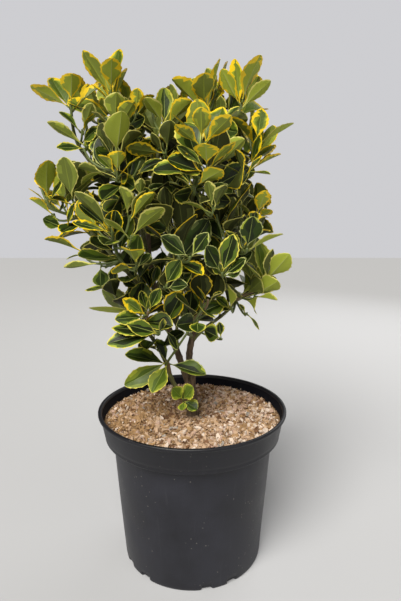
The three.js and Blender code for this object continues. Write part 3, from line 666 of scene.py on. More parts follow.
def make_mulch():
    heap = Heap()
    sides = MULCH["sides"]
    rows = []
    for share in np.linspace(0.02, 1, MULCH["rings"]):
        ring = [(MULCH["radius"] * share * math.cos(a), MULCH["radius"] * share * math.sin(a))
                for a in round_turns(sides)]
        rows.append([(x, y, mulch_height(x, y) - MULCH["sunk"]
                      + MULCH["crumbs"] * rough(x * MULCH["crumbly"], y * MULCH["crumbly"], 1.0)) for x, y in ring])
    rows.append([(x * MULCH["foot"], y * MULCH["foot"], MULCH["floor"]) for x, y, _ in rows[-1]])
    first = np.arange(sides)[None, ::-1]
    last = (len(rows) - 1) * sides + np.arange(sides)[None, :]
    heap.add(np.array(rows), [grid_faces(len(rows), sides, closed=True), first, last])
    heap.piece("mulch_bed", [chip_finish("chip_bed", (0.29, 0.180, 0.095))], "wood_chips", "chips")

    heap = Heap()
    rng = np.random.default_rng(CHIPS["seed"])
    for _ in range(CHIPS["count"]):
        size = CHIPS["shortest"] + CHIPS["longer"] * rng.random()**CHIPS["rarity"]
        r = (MULCH["radius"] - size * CHIPS["inset"]) * math.sqrt(rng.random())
        a = 2 * math.pi * rng.random()
        x, y = r * math.cos(a), r * math.sin(a)
        if math.hypot(x, y) < CHIPS["clear"]:
            continue
        odds = np.cumsum([share * (1 + CHIPS["patch"] * math.exp(-((x - mx)**2 + (y - my)**2) / reach**2))
                          for _, share, (mx, my), reach in CHIP_TINTS.values()])
        tint = int(np.searchsorted(odds, rng.random() * odds[-1]))
        corners = 4 if size < CHIPS["five_cornered"] else 5
        angles = (np.arange(corners) + CHIPS["uneven"] * (rng.random(corners) - 0.5)) * 2 * math.pi / corners
        wide, thick = [size * (least + more * rng.random()) for least, more in (CHIPS["wide"], CHIPS["thick"])]
        flat = np.stack([np.cos(angles) * size / 2, np.sin(angles) * wide / 2], axis=1)
        lower = np.column_stack([flat * CHIPS["taper"], np.full(corners, -thick / 2)])
        upper = np.column_stack([flat, np.full(corners, thick / 2)])
        body = np.concatenate([lower, upper]) + (rng.random((2 * corners, 3)) - 0.5) * size * CHIPS["ragged"]
        lean, heading, roll = rng.normal(0, CHIPS["lean"]), 2 * math.pi * rng.random(), rng.normal(0, CHIPS["roll"])
        for axis, angle in enumerate((roll, lean, heading)):
            turn = np.eye(3)
            p, q = [k for k in range(3) if k != axis]
            turn[p, p] = turn[q, q] = math.cos(angle)
            turn[p, q], turn[q, p] = -math.sin(angle), math.sin(angle)
            body = body @ turn.T
        body += (x, y, mulch_height(x, y) + (rng.random() * CHIPS["lift"][1] + CHIPS["lift"][0]))
        ring = np.arange(corners)
        after = (ring + 1) % corners
        around = np.stack([ring, after, corners + after, corners + ring], axis=1)
        heap.add(body, [around, ring[None, ::-1], (corners + ring)[None, :]], tint)
    finishes = [chip_finish(name, values[0]) for name, values in CHIP_TINTS.items()]
    heap.piece("mulch_chips", finishes, "wood_chips", smooth=False)


# ---- limbs ----
BARK = {"flare_fall": 7, "ring": 2.2, "young_below": 3.1, "sides": (18, 14), "thick_from": 3.5}
ROOT_RIBS = {"count": 5, "high": 0.16, "fall": 5, "turn": 0.7}
LIMB_STEPS = 60
LIMB_LENGTHS = 12
KNOTS = {"first": 12, "apart": 19, "spread": 6, "gap": 17, "width": 1.7, "bulge": 0.13}
FURROWS = {"around": 2.1, "along": 0.09, "broad": 0.075, "fine": 0.045, "finer": 2.7}
# Each limb's path and its radii at foot and tip
limbs = {}


def limb_piece(name, path, radii, flare, number, finishes):
    length = path_length(path)
    knots = [(KNOTS["first"] + KNOTS["apart"] * k + KNOTS["spread"] * spread(number, k, 40)) / length
             for k in range(int(length / KNOTS["gap"]))]

    def radius_at(share, turn):
        base = mix(*radii, share) + flare * math.exp(-share * BARK["flare_fall"])
        bulge = sum(math.exp(-((share - knot) * length / KNOTS["width"])**2) for knot in knots) * KNOTS["bulge"]
        at = Vector((math.cos(turn) * FURROWS["around"], math.sin(turn) * FURROWS["around"],
                     share * length * FURROWS["along"] + number))
        furrow = FURROWS["broad"] * noise.noise(at) + FURROWS["fine"] * noise.noise(at * FURROWS["finer"])
        if flare:
            furrow += ROOT_RIBS["high"] * math.exp(-share * ROOT_RIBS["fall"]) * math.cos(
                ROOT_RIBS["count"] * turn + ROOT_RIBS["turn"])
        return base * (1 + bulge + furrow)

    heap = Heap()
    fine = spaced(path, max(24, int(length / BARK["ring"])))
    sides = BARK["sides"][0 if radii[0] > BARK["thick_from"] else 1]
    tube(heap, fine, radius_at, sides)
    radius = np.array([mix(*radii, (k // sides) / len(fine)) for k in range(len(heap.faces))])
    heap.slots = [(radius < BARK["young_below"]).astype(int)]
    heap.piece(f"{name}_bark", finishes, "bark", name)


def make_limbs():
    """The trunk, the stems and the boughs. A mass with a bough of its own grows from that from here on."""
    finishes = [bark_finish(name, *tones) for name, tones in BARK_FINISHES.items()]

    def add(name, path, radii, flare=0):
        limb_piece(name, path, radii, flare, len(limbs), finishes)
        limbs[name] = spaced(path, LIMB_STEPS), radii

    add("trunk", through(TRUNK["path"]), TRUNK["radii"], TRUNK["flare"])
    parent = spaced(through([TRUNK_FOOT, *TRUNK["path"][1:]]), LIMB_STEPS)
    for name, stem in STEMS.items():
        add(name, through([point_on(parent, stem["at"]), *stem["path"]]), stem["radii"])
    for mass in MASSES:
        if mass["side"] or mass["at"] == 1:
            continue
        path, _ = limbs[mass["limb"]]
        foot = point_on(path, mass["at"])
        growth = growth_of(mass)
        tip = np.array(mass["centre"]) - growth * BOUGH["inset"] * mass["radius"]
        pull = np.linalg.norm(tip - foot) * BOUGH["pull"]
        departure = unit(unit(tip - foot) + way_on(path, mass["at"]))
        mass["limb"] = f"bough_{mass['name']}"
        add(mass["limb"], bezier(foot, foot + departure * pull, tip - growth * pull, tip), BOUGH["radii"])


def growth_of(mass):
    x, y, _ = mass["centre"]
    return unit(UP + CROWN["lean_per_mm"] * np.array((x - CROWN["axis"][0], y - CROWN["axis"][1], 0)))


# ---- shoots: the source's rule, with more side shoots and leaves of the plant's own size ----
LEADER = {"radii": (2.0, 1.4), "step": 5, "least_size": 0.6}
SIDE_SHOOT = {"radii": (1.4, 1.1), "starts": (0.02, 0.7), "polar": (112, 40), "polar_spread": 9, "shortest": 12,
              "least_reach": 0.2, "reach_step": 0.08, "end_out": 0.3, "end_up": 0.9, "bend": 0.5, "more": 2}
# A shoot of a shown whorl leaves its leader this much of the way below it; others keep off shown whorls
WHORL = {"drop": 0.4, "lowest": 0.05, "forward": -0.25, "room": 26}
TIP_REACH = 0.4
SIDE_REACH = 0.56
SPACE_OUTSIDE = 5
SPACE_MARGIN = -14
# The gap before each pair of leaves, and the pair's length and angle
NODES = [(0.5, 44, 15), (7, 54, 30), (12, 58, 43), (15, 58, 54), (17, 56, 63), (18, 54, 71), (18, 50, 78)]
BOUGH_LEAVES = {"from": 0.4, "gap": 14, "length": 51, "angle": 62, "older": 4, "number": 30}
LEAFY_SHARE = 0.95
TWIG = {"sides": 8, "ridges": 4, "ridge": 0.09, "brown_below": 400}


def ball_power(points):
    return ((np.atleast_2d(points)[:, None] - CENTRES[None])**2).sum(axis=2) - RADII**2


def inside_space(points, index, margin=0):
    """Whether all the points are nearer to the mass's ball than to any other, and not far out of it."""
    power = ball_power(points)
    own = power[:, index]
    if (own > 2 * RADII[index] * SPACE_OUTSIDE).any():
        return False
    clear = own[:, None] + 2 * APART[index] * margin < power
    clear[:, index] = True
    return bool(clear.all())


def near_masses(points, outside):
    """Whether all the points are in some mass's ball or not far out of it."""
    return bool((ball_power(points) < 2 * RADII * outside).any(axis=1).all())


def shoots_of(mass, index):
    """A mass's leader and its side shoots: first those of its shown whorls, then those grown by the rule."""
    centre, growth, size = np.array(mass["centre"], float), growth_of(mass), mass["size"]
    limb, _ = limbs[mass["limb"]]
    side = square_to(growth, RIGHT)
    other = np.cross(growth, side)
    whorls = [(seen_at(*at[:3]),
               [(seen_at(column, row, at[2] + behind), given) for column, row, behind, *given in leaves],
               *(at[3:] or (mass["lean"],))) for at, leaves in WHORLS.get(mass["name"], [])]
    top, shown, lean = whorls[0] if whorls else (centre + growth * mass["radius"] * TIP_REACH, [], 0)
    way = unit(np.array(mass["side"])) if mass["side"] else way_on(limb, 1)
    foot = point_on(limb, mass["at"] if mass["side"] else 1)
    axis = unit(UP + (0, -lean, 0)) if whorls else growth
    reach = np.linalg.norm(top - foot) / 3
    leader = bezier(foot, foot + way * reach, top - axis * reach, top)
    shoots = []

    def add(kind, path, leaves):
        length = path_length(path)
        shoots.append({"path": spaced(path, max(3, int(length / LEADER["step"]))), "length": length, "side": side,
                       "radii": np.array(kind["radii"]) * max(size, LEADER["least_size"]), "shown": leaves,
                       "nodes": [] if mass["side"] else NODES, "ratio": mass["ratio"], "older": 0})

    add(LEADER, leader, shown)
    for goal, leaves, lean in whorls[1:]:
        nearest = np.linalg.norm(leader - goal, axis=1).argmin() / len(leader)
        start = point_on(leader, max(WHORL["lowest"], nearest - WHORL["drop"]))
        bend = unit(UP + (0, -lean, 0)) * SIDE_SHOOT["bend"] * np.linalg.norm(goal - start)
        add(SIDE_SHOOT, bezier(start, goal - bend, goal), leaves)
    phase = 2 * math.pi * chance(index, 0, 9)
    golden = math.pi * (3 - math.sqrt(5))
    count = mass["shoots"] + (0 if mass["side"] else SIDE_SHOOT["more"])
    for k in range(1, count):
        share = (k - 1) / max(1, count - 2)
        polar = math.radians(mix(*SIDE_SHOOT["polar"], share) + SIDE_SHOOT["polar_spread"] * spread(index, k, 6))
        turn = phase + k * golden
        outward = (growth * math.cos(polar) + side * math.sin(polar) * math.cos(turn)
                   + other * math.sin(polar) * math.sin(turn))
        start = point_on(leader, mix(*SIDE_SHOOT["starts"], share))
        goal = centre + outward * mass["radius"] * SIDE_REACH
        reach = 1.0
        while reach > SIDE_SHOOT["least_reach"] and not inside_space(mix(start, goal, reach), index):
            reach -= SIDE_SHOOT["reach_step"]
        goal = mix(start, goal, reach)
        run = np.linalg.norm(goal - start)
        crowded = whorls and (outward[1] < WHORL["forward"]
                              or min(np.linalg.norm(goal - at) for at, *_ in whorls) < WHORL["room"])
        if not crowded and run >= SIDE_SHOOT["shortest"] * size:
            ending = unit(outward * SIDE_SHOOT["end_out"] + UP * SIDE_SHOOT["end_up"])
            add(SIDE_SHOOT, bezier(start, goal - ending * SIDE_SHOOT["bend"] * run, goal), [])
    return shoots


def bough_shoot(mass):
    """The upper part of a mass's limb, which carries older leaves of its own."""
    limb, _ = limbs[mass["limb"]]
    path = limb[int(BOUGH_LEAVES["from"] * len(limb)):]
    length = path_length(path)
    count = int(length / BOUGH_LEAVES["gap"])
    node = BOUGH_LEAVES["gap"], BOUGH_LEAVES["length"], BOUGH_LEAVES["angle"]
    return {"path": spaced(path, max(3, count)), "length": length, "side": RIGHT, "radii": BOUGH["radii"],
            "shown": [], "nodes": [node] * count, "ratio": USUAL["ratio"], "older": BOUGH_LEAVES["older"]}


# ---- leaves ----
LEAF = {"petiole": 4.5, "petiole_radius": 0.75, "thick": 0.45, "petiole_thick": 0.9, "face_up": 0.35, "rows": 19,
        "widest": (1.46, 1.18), "base_power": 1.2, "tip_power": (0.52, 0.74), "rib": 0.55, "ridge": 0.55,
        "groove": 0.3, "scallop": 0.05, "scalloped": (0.25, 0.93), "most_wide": 31, "fold": 0.42,
        "fold_fall": (1.3, 0.35), "wave": 0.9, "wave_width": 14, "wave_turns": (1.2, 1.2), "roll": (0.1, 0.5),
        "petiole_share": (0.8, 0.4), "full_from": 30, "rib_taper": 1.15, "rib_range": (0.01, 0.1)}
# The lower face's rib, band and ridge beside the upper face's, and the fall of its ridge along the leaf
UNDER = {"rib": 1.3, "band": 0.5, "ridge_side": 0.35, "ridge_taper": 1.1}
# How much a leaf curls along its length and how much that varies, nearly flat across or folded
CURL = {"flat": (-0.1, 0.3), "folded": (-0.25, 0.6)}
# The rows of a leaf's mesh as shares of its length: its petiole, then rows that are closer at foot and tip
ROW_SHARES = np.linspace(0.04, 1, LEAF["rows"] + 1)**0.95
LEAF_ROWS = np.concatenate([[-1.0, -0.4], 0.5 - 0.5 * np.cos(math.pi * ROW_SHARES)])
LEAF_ROWS[-1] = 0.997
LEAF_SPREAD = {"turn": 0.3, "angle": 9, "length": 0.14, "tilt": 0.35, "ratio": 0.08, "fold": 0.2}
LEAF_TRIES = {"most": 7, "upright": 0.09, "turned": 0.35, "smaller": 0.06}
SHOWN = {"tries": 16, "change": 2, "fold": 0.3, "outside": 16, "first_node": 3}
# Where a blade is tested against what stands already, and where a shown leaf must stay in sight
BLADE_T = np.array([0.16, 0.42, 0.72, 0.97])
BLADE_U = np.tile([-0.96, 0.0, 0.96], (len(BLADE_T), 1))
BLADE_FACES = grid_faces(len(BLADE_T), 3).tolist()
SHOWN_T = np.array([0.3, 0.5, 0.7, 0.9])
SHOWN_U = np.tile([-0.5, 0.0, 0.5], (len(SHOWN_T), 1))
COVER_GAP = 3
NEAR = 70
placed = {"centres": [], "trees": [], "shown": []}


def leaf_width(leaf, t):
    """Half the blade's width, in mm, at a share of its length: widest past the middle, round at the tip."""
    t = np.clip(t, 0, 1)
    power = mix(LEAF["base_power"], mix(*LEAF["tip_power"], leaf["slim"]), t)
    along = t**mix(*LEAF["widest"], leaf["slim"])
    return leaf["length"] * leaf["ratio"] / 2 * np.maximum(np.sin(math.pi * along), 0)**power


def leaf_points(leaf, t, u, depth=0.0):
    """Points of the blade's upper face moved down by depth. t has one value a row; u is rows by columns."""
    petiole = leaf["petiole"]
    s = np.where(t < 0, petiole * (1 + t), petiole + t * (leaf["length"] - petiole))
    bend = leaf["curl"] / leaf["length"]
    turn = bend * s
    near = np.abs(bend) < 1e-6
    ahead = s if near else np.sin(turn) / bend
    lift = 0 * s if near else (1 - np.cos(turn)) / bend
    spine = leaf["foot"] + np.outer(ahead, leaf["way"]) + np.outer(lift, leaf["face"])
    normal = np.outer(np.cos(turn), leaf["face"]) - np.outer(np.sin(turn), leaf["way"])
    w = np.maximum(leaf_width(leaf, t), LEAF["petiole_radius"] * leaf["scale"])[:, None]
    first = leaf["fold"] * np.clip(LEAF["fold_fall"][0] - t, LEAF["fold_fall"][1], 1)[:, None]
    change = np.full_like(first, leaf["roll"])
    change[np.abs(change) < 1e-3] = 1e-3
    out = np.abs(u)
    across = w * (np.sin(first + change * out) - np.sin(first)) / change
    rise = w * (np.cos(first) - np.cos(first + change * out)) / change
    phase = leaf["wave_turns"] * t[:, None] * 2 * math.pi + np.sign(u) * leaf["phase"]
    rise = rise + leaf["wave"] * out**2 * np.sin(phase) * (w / LEAF["wave_width"])
    return (spine[:, None] + (np.sign(u) * across)[..., None] * leaf["across"]
            + (rise - depth)[..., None] * normal[:, None])


def aim(shoot, share, goal):
    """The turn, the angle and the length of a leaf whose tip is to be at goal."""
    tangent = way_on(shoot["path"], share)
    outward = square_to(tangent, shoot["side"])
    reach = goal - point_on(shoot["path"], share)
    length = np.linalg.norm(reach)
    turn = math.atan2(np.dot(reach, np.cross(tangent, outward)), np.dot(reach, outward))
    return turn, math.degrees(math.acos(np.dot(reach, tangent) / length)), length


def make_leaf(shoot, share, turn, angle, length, keys, node, given=(), fold=LEAF["fold"]):
    """A leaf on a shoot. given is a shown leaf's own twist, ratio and lift of painted light, each of them left out
    or not.
    """
    twist, ratio, lift = [*given, *(None, None, 0)[len(given):]]
    mass = MASSES[keys[0]]
    scale = mass["size"]
    tangent = way_on(shoot["path"], share)
    side = turned(square_to(tangent, shoot["side"]), tangent, turn)
    opening = math.radians(angle)
    way = tangent * math.cos(opening) + side * math.sin(opening)
    face = tangent * math.sin(opening) - side * math.cos(opening) + UP * LEAF["face_up"]
    tilt = LEAF_SPREAD["tilt"] * spread(*keys, 11) if twist is None else math.radians(twist)
    face = turned(square_to(way, face), way, tilt)
    usual = shoot["ratio"] + LEAF_SPREAD["ratio"] * spread(*keys, 13)
    curl, curl_spread = CURL["folded" if fold > SHOWN["fold"] else "flat"]
    least, more = LEAF["petiole_share"]
    return {
        "keys": keys, "node": node, "lift": lift, "scale": scale, "length": length,
        "foot": point_on(shoot["path"], share) + side * mix(*shoot["radii"], share) * 0.5,
        "way": way, "face": face, "across": np.cross(way, face),
        "petiole": (LEAF["petiole"] * scale * (least + more * chance(*keys, 12))
                    * min(1, length / LEAF["full_from"])),
        "ratio": ratio or min(usual, LEAF["most_wide"] / length), "curl": curl + curl_spread * spread(*keys, 5),
        "fold": fold + LEAF_SPREAD["fold"] * spread(*keys, 14),
        "roll": LEAF["roll"][0] + LEAF["roll"][1] * spread(*keys, 15),
        "wave": LEAF["wave"] * chance(*keys, 16) * scale,
        "wave_turns": LEAF["wave_turns"][0] + LEAF["wave_turns"][1] * chance(*keys, 17),
        "phase": 6.28 * chance(*keys, 18),
        "slim": 0.5 * chance(*keys, 19) + (0.5 if mass["kind"] in ("leafy", "deep") else 0),
    }


def covers_shown(points):
    """Whether a blade hides a place of a leaf that shows in the photograph."""
    column, row, depth = on_photo(points)
    edge = np.concatenate([np.arange(0, len(row), 3), np.arange(len(row) - 1, 0, -3)])
    shown_column, shown_row, shown_depth = placed["shown"]
    behind = shown_depth > depth.mean() + COVER_GAP
    corners = np.stack([column[edge], row[edge]], axis=1)
    return bool((behind & inside_polygon(corners, shown_column, shown_row)).any())


def fits(points, index, rule):
    """Whether a blade is where it may be. A shown leaf is near the crown; any other is inside its outline too,
    hides no shown leaf and, unless it grows on a bough, keeps to the mass's own space."""
    if rule == "shown":
        return near_masses(points, SHOWN["outside"])
    column, row, _ = on_photo(points)
    if not inside_polygon(OUTLINE, column, row).all():
        return False
    in_space = near_masses(points, SPACE_OUTSIDE) if rule == "bough" else inside_space(points, index, SPACE_MARGIN)
    return in_space and not covers_shown(points)


def place(points, faces, tree=None):
    """Adds a blade or a bar to what leaves may not cut."""
    placed["centres"].append(points.mean(axis=0))
    placed["trees"].append(tree or BVHTree.FromPolygons([Vector(p) for p in points], faces))


def place_tube(path, radii):
    """Adds a plain bar along a limb or a shoot to what leaves may not cut."""
    heap = Heap()
    tube(heap, path, lambda share, turn: mix(*radii, share), 5, dome=False)
    place(np.concatenate(heap.points), heap.faces)


def place_leaf(leaf, rule):
    """Keeps a leaf if it is in its space and cuts nothing that stands already."""
    points = leaf_points(leaf, BLADE_T, BLADE_U).reshape(-1, 3)
    if not fits(points, leaf["keys"][0], rule):
        return False
    tree = BVHTree.FromPolygons([Vector(p) for p in points], BLADE_FACES)
    leaf["middle"] = points.mean(axis=0)
    gaps = np.linalg.norm(np.array(placed["centres"]) - leaf["middle"], axis=1)
    if any(tree.overlap(placed["trees"][k]) for k in np.nonzero(gaps < NEAR)[0]):
        return False
    place(points, BLADE_FACES, tree)
    return True


def grow_shown(index, shoot, number):
    """The leaves of a shoot that show in the photograph."""
    for k, (goal, given) in enumerate(shoot["shown"]):
        keys = (index, number, 10, 60 + k)
        share = 1 - min(0.5, (1 + 2 * k) / shoot["length"])
        turn, angle, length = aim(shoot, share, goal)
        for attempt in range(SHOWN["tries"]):
            amount = SHOWN["change"] * attempt
            leaf = make_leaf(shoot, share, turn + math.radians(amount) * spread(*keys, 7, attempt),
                             angle + amount * spread(*keys, 8, attempt), length, keys,
                             0 if k < SHOWN["first_node"] else 1, given, SHOWN["fold"])
            if place_leaf(leaf, "shown"):
                placed["shown"].append(on_photo(leaf_points(leaf, SHOWN_T, SHOWN_U)))
                yield leaf
                break


def grow_leaves(index, shoot, number, rule):
    """The leaves that the rule grows on a shoot, in crossed pairs from its tip down."""
    scale = MASSES[index]["size"]
    first_turn = 2 * math.pi * chance(index, number, 1)
    back = 0.0
    for node, (gap, full_length, full_angle) in enumerate(shoot["nodes"]):
        back += gap * scale
        if back > shoot["length"] * LEAFY_SHARE:
            break
        if shoot["shown"] and node < 2:
            continue
        for hand in (0, 1):
            keys = (index, number, 10 + node, hand)
            turn = first_turn + node * math.pi / 2 + hand * math.pi + LEAF_SPREAD["turn"] * spread(*keys, 2)
            angle = full_angle + LEAF_SPREAD["angle"] * spread(*keys, 3)
            length = scale * full_length * (1 + LEAF_SPREAD["length"] * spread(*keys, 4))
            for attempt in range(LEAF_TRIES["most"]):
                leaf = make_leaf(
                    shoot, 1 - back / shoot["length"],
                    turn + LEAF_TRIES["turned"] * attempt * spread(*keys, 7, attempt),
                    angle * (1 - LEAF_TRIES["upright"] * attempt), length * (1 - LEAF_TRIES["smaller"] * attempt),
                    keys, node + shoot["older"])
                if place_leaf(leaf, rule):
                    yield leaf
                    break


# Each kind of leaf: the finish of the centre, the ring and the margin, the margin's width, and how much wider
# it is at the tip
# The high, middle and low kinds follow the leaf's painted light: the low kinds' dark centres and dim margins are
# painted shade, the high kinds' lighter rings and gold margins partly painted light and partly the young leaves'
# own gold; the deep kind's dark leaves are painted shade
LEAF_KINDS = {
    "leafy": [("green", "fresh", "yellow", 0.7, 1.8), ("deep", "green", "yellow", 0.7, 1.8),
              ("dark", "green", "pale", 0.7, 1.4), ("dark", "green", "yellow", 0.7, 2.0)],
    "deep": [("dark", "green", "yellow", 0.65, 2.4), ("deep", "green", "yellow", 0.65, 2.6),
             ("dark", "green", "gold", 0.7, 3.0), ("dark", "deep", "pale", 0.55, 1.6)],
    "small": [("deep", "green", "yellow", 0.8, 1.0), ("green", "fresh", "yellow", 0.8, 1.0)],
    "high": [("green", "fresh", "gold", 1.3, 3.2), ("fresh", "lime", "gold", 2.0, 2.2),
             ("deep", "green", "gold", 1.1, 2.6), ("green", "fresh", "gold", 1.2, 3.6),
             ("deep", "fresh", "yellow", 0.9, 1.8)],
    "middle": [("deep", "green", "yellow", 0.8, 1.6), ("dark", "green", "yellow", 0.9, 2.2),
               ("deep", "grey", "gold", 1.0, 3.0), ("deep", "green", "pale", 0.7, 1.2),
               ("dark", "deep", "gold", 0.8, 1.6)],
    "low": [("dark", "deep", "pale", 0.7, 1.0), ("deep", "green", "yellow", 0.8, 1.5),
            ("dark", "green", "yellow", 0.7, 1.1), ("dark", "deep", "yellow", 0.8, 1.4)],
}
# A leaf's painted light, which gives leaves low and deep in the crown darker colours as painted shade and high,
# outer ones lighter colours, grows with height, outwards and with youth; the crown's middle and half its size are
# in mm
PAINTED_LIGHT = {"low": 290, "high": 600, "height": 0.42, "outer": 0.42, "outer_most": 1.2, "young": 0.24,
         "young_nodes": 4, "spread": 0.16, "high_from": 0.84, "middle_from": 0.52, "golden_lift": 0.5,
         "middle": (-30, 0, 450), "half": (135, 125, 180)}
# The lower face's tones from dark to light, copies of one underside colour in painted shade and painted light with
# its rib's colour last, and the painted light from which each of the later ones is used
UNDER_TONES = [FINISH[f"under_{tone}"] for tone in ("deep", "dull", "mid", "olive", "light", "rib")]
UNDER_PAINTED_LIGHT_FROM = (0.46, 0.64, 0.80, 1.0)
UNDER_SPREAD = 0.2
# The share of the ring and of the lower face that has patches of another green, each of a few rows; the ring's
# patches are lime on leaves with more painted light and grey on the rest, the lower face's the next lighter of its
# painted-light copies
PATCHES = {"share": 0.4, "bands": 0.45, "lime_from": 0.5, "rows": 3}
# The strips' borders wave: how often along the leaf, and how much. The margin is jagged too.
MARGIN = {"waves": ((7.3, 0.3), (17.1, 0.25)), "jag": (0.3, 0.4), "gold_tooth": 0.8, "least": 0.22,
          "edge": (0.12, 0.93), "clear": 0.03, "width": (0.7, 0.6)}
RING = {"waves": ((5.1, 0.22), (13.0, 0.13)), "middle": 0.5, "least": 0.02}


def leaf_looks(leaf):
    """The finishes of a leaf's zones and its margin's width, picked by its painted light: darker finishes as
    painted shade low and deep in the crown, and goldest on young leaves high and far out.
    """
    mass = MASSES[leaf["keys"][0]]
    # painted light: the colours lighten with height and outwards and darken as painted shade inside the crown;
    # youth adds the young leaves' gold, a positive lift adds painted light and a negative lift painted shade
    out = (leaf["middle"] - PAINTED_LIGHT["middle"]) / PAINTED_LIGHT["half"]
    light = (PAINTED_LIGHT["height"] * (leaf["middle"][2] - PAINTED_LIGHT["low"]) / (PAINTED_LIGHT["high"] - PAINTED_LIGHT["low"])
             + PAINTED_LIGHT["outer"] * min(PAINTED_LIGHT["outer_most"], out @ out)
             + PAINTED_LIGHT["young"] * (1 - leaf["node"] / PAINTED_LIGHT["young_nodes"])
             + PAINTED_LIGHT["spread"] * spread(*leaf["keys"], 20) + mass["lift"] + leaf["lift"])
    kind = mass["kind"] or ("high" if light > PAINTED_LIGHT["high_from"] else
                            "middle" if light > PAINTED_LIGHT["middle_from"] else "low")
    choices = LEAF_KINDS["high" if leaf["lift"] > PAINTED_LIGHT["golden_lift"] else kind]
    centre, ring, margin, width, at_tip = choices[int(chance(*leaf["keys"], 21) * len(choices))]
    least, more = MARGIN["width"]
    return centre, ring, margin, width * (least + more * chance(*leaf["keys"], 22)), at_tip, light


def zones(leaf, t, w, margin, margin_width, at_tip, hand):
    """Where rib, centre, ring and margin part on one half of the leaf, as shares of the half's width."""
    keys, scale, along = leaf["keys"], leaf["scale"], np.clip(t, 0, 1)
    phases = [2 * math.pi * chance(*keys, 30 + 3 * k + hand) for k in range(3)]

    def waves(table, first):
        return sum(much * np.sin(often * t + phase) for (often, much), phase in zip(table, phases[first:]))

    jag = np.array([spread(*keys, 90 + hand, row) for row in range(len(t))])
    ragged = 1 + waves(MARGIN["waves"], 0) + mix(MARGIN["jag"][0], sum(MARGIN["jag"]), along) * jag
    if margin == "gold":
        ragged += MARGIN["gold_tooth"] * (jag > 0.5)
    width = margin_width * scale * np.maximum(ragged, MARGIN["least"]) * mix(1, at_tip, along**2)
    edge = np.clip(1 - width / w, *MARGIN["edge"])
    rib = np.clip(LEAF["rib"] * scale * (LEAF["rib_taper"] - along) / w, *LEAF["rib_range"])
    middle = np.maximum(edge * (RING["middle"] + waves(RING["waves"], 1)), rib + RING["least"])
    return rib, middle, np.maximum(edge, middle + MARGIN["clear"])


def both_ways(left, right):
    """Columns from the left rim through the rib to the right rim, of what is given from the rib outward."""
    return np.stack([*(-x for x in left[::-1]), 0 * left[0], *right], axis=1)


def draw_leaf(heap, leaf):
    """The whole leaf: an upper face in strips of rib, centre, ring and margin, and a lower face under it."""
    centre, ring, margin, margin_width, at_tip, light = leaf_looks(leaf)
    keys, scale = leaf["keys"], leaf["scale"]
    t = LEAF_ROWS
    w = np.maximum(leaf_width(leaf, t), LEAF["petiole_radius"] * scale)
    first, last = LEAF["scalloped"]
    toothed = 1 + LEAF["scallop"] * (np.arange(len(t)) % 2 * 2 - 1) * (t > first) * (t < last)
    halves = [zones(leaf, t, w, margin, margin_width, at_tip, hand) for hand in (0, 1)]
    top = both_ways(*[(rib, middle, (middle + edge) / 2, edge, (edge + 1) / 2, toothed)
                      for rib, middle, edge in halves])
    low = both_ways(*[(rib * UNDER["rib"], edge * UNDER["band"], edge) for rib, _, edge in halves])
    along = np.clip(t, 0, 1)[:, None]
    groove = LEAF["groove"] * scale * (1 - along) * np.array([0] * 5 + [0.1, 1, 0.1] + [0] * 5)
    normal = leaf_points(leaf, t, 0 * top) - leaf_points(leaf, t, 0 * top, 1.0)
    upper = leaf_points(leaf, t, top) - groove[..., None] * normal
    thick = LEAF["thick"] * scale + np.where(t > 0, 0, LEAF["petiole_thick"] * scale)[:, None] + 0 * low
    ridge = np.array([UNDER["ridge_side"], 1, UNDER["ridge_side"]])
    thick[:, 2:5] += LEAF["ridge"] * scale * (UNDER["ridge_taper"] - along) * ridge
    lower = leaf_points(leaf, t, low, thick)

    # the lower face joins the upper face's two rims, and each end is closed
    top_at = np.arange(top.size).reshape(top.shape)
    low_at = top.size + np.arange(low.size).reshape(low.shape)
    under = np.column_stack([top_at[:, 0], low_at, top_at[:, -1]])
    faces_low = np.stack([under[:-1, :-1], under[1:, :-1], under[1:, 1:], under[:-1, 1:]], axis=2).reshape(-1, 4)
    ends = [np.concatenate([top_at[0, ::-1], low_at[0]])[None],
            np.concatenate([top_at[-1], low_at[-1, ::-1]])[None]]

    def strips(half, columns, first_row, key, share, patch):
        """The slots of a face from one half's strips, the rib first, with patches in two of its columns."""
        slots = np.tile(half[::-1] + half, (len(t) - 1, 1))
        for hand, column in enumerate(columns):
            for row in range(first_row, len(t) - 2):
                if chance(*keys, key + row // PATCHES["rows"], hand) < share:
                    slots[row, column] = patch
        slots[:2] = FINISH["petiole"]
        return slots.ravel()

    rib, centre, ring, rim = (FINISH[name] for name in (
        "leaf_rib", f"leaf_{centre}", f"leaf_{ring}", f"margin_{margin}"))
    # painted light: lime patches on leaves with more painted light, grey ones on the rest
    patch = FINISH["leaf_lime" if light > PATCHES["lime_from"] else "leaf_grey"]
    slots_top = strips([rib, centre, ring, ring, rim, rim], (2, 9), 2, 50, PATCHES["share"], patch)
    # painted shade and painted light: the lower face takes a darker or lighter copy of its colour by the leaf's
    # painted light
    tone = int(np.searchsorted(UNDER_PAINTED_LIGHT_FROM, light + UNDER_SPREAD * spread(*keys, 23)))
    face, band, rib_low = UNDER_TONES[tone], UNDER_TONES[min(4, tone + 1)], UNDER_TONES[tone + 1]
    edge = FINISH["under_gold" if margin == "gold" else "under_margin"]
    slots_low = strips([rib_low, face, face, edge], (1, 6), 3, 70, PATCHES["bands"], band)
    uvs = [np.stack([u, np.broadcast_to(along, u.shape)], axis=2).reshape(-1, 2) for u in (top, low)]
    rims = np.zeros(top.shape, bool)
    rims[2:, (0, -1)] = True
    heap.add(np.concatenate([upper.reshape(-1, 3), lower.reshape(-1, 3)]),
             [grid_faces(*top.shape), faces_low, *ends], [slots_top, slots_low, rib, rim], np.concatenate(uvs),
             np.concatenate([rims.ravel(), np.zeros(low.size, bool)]))


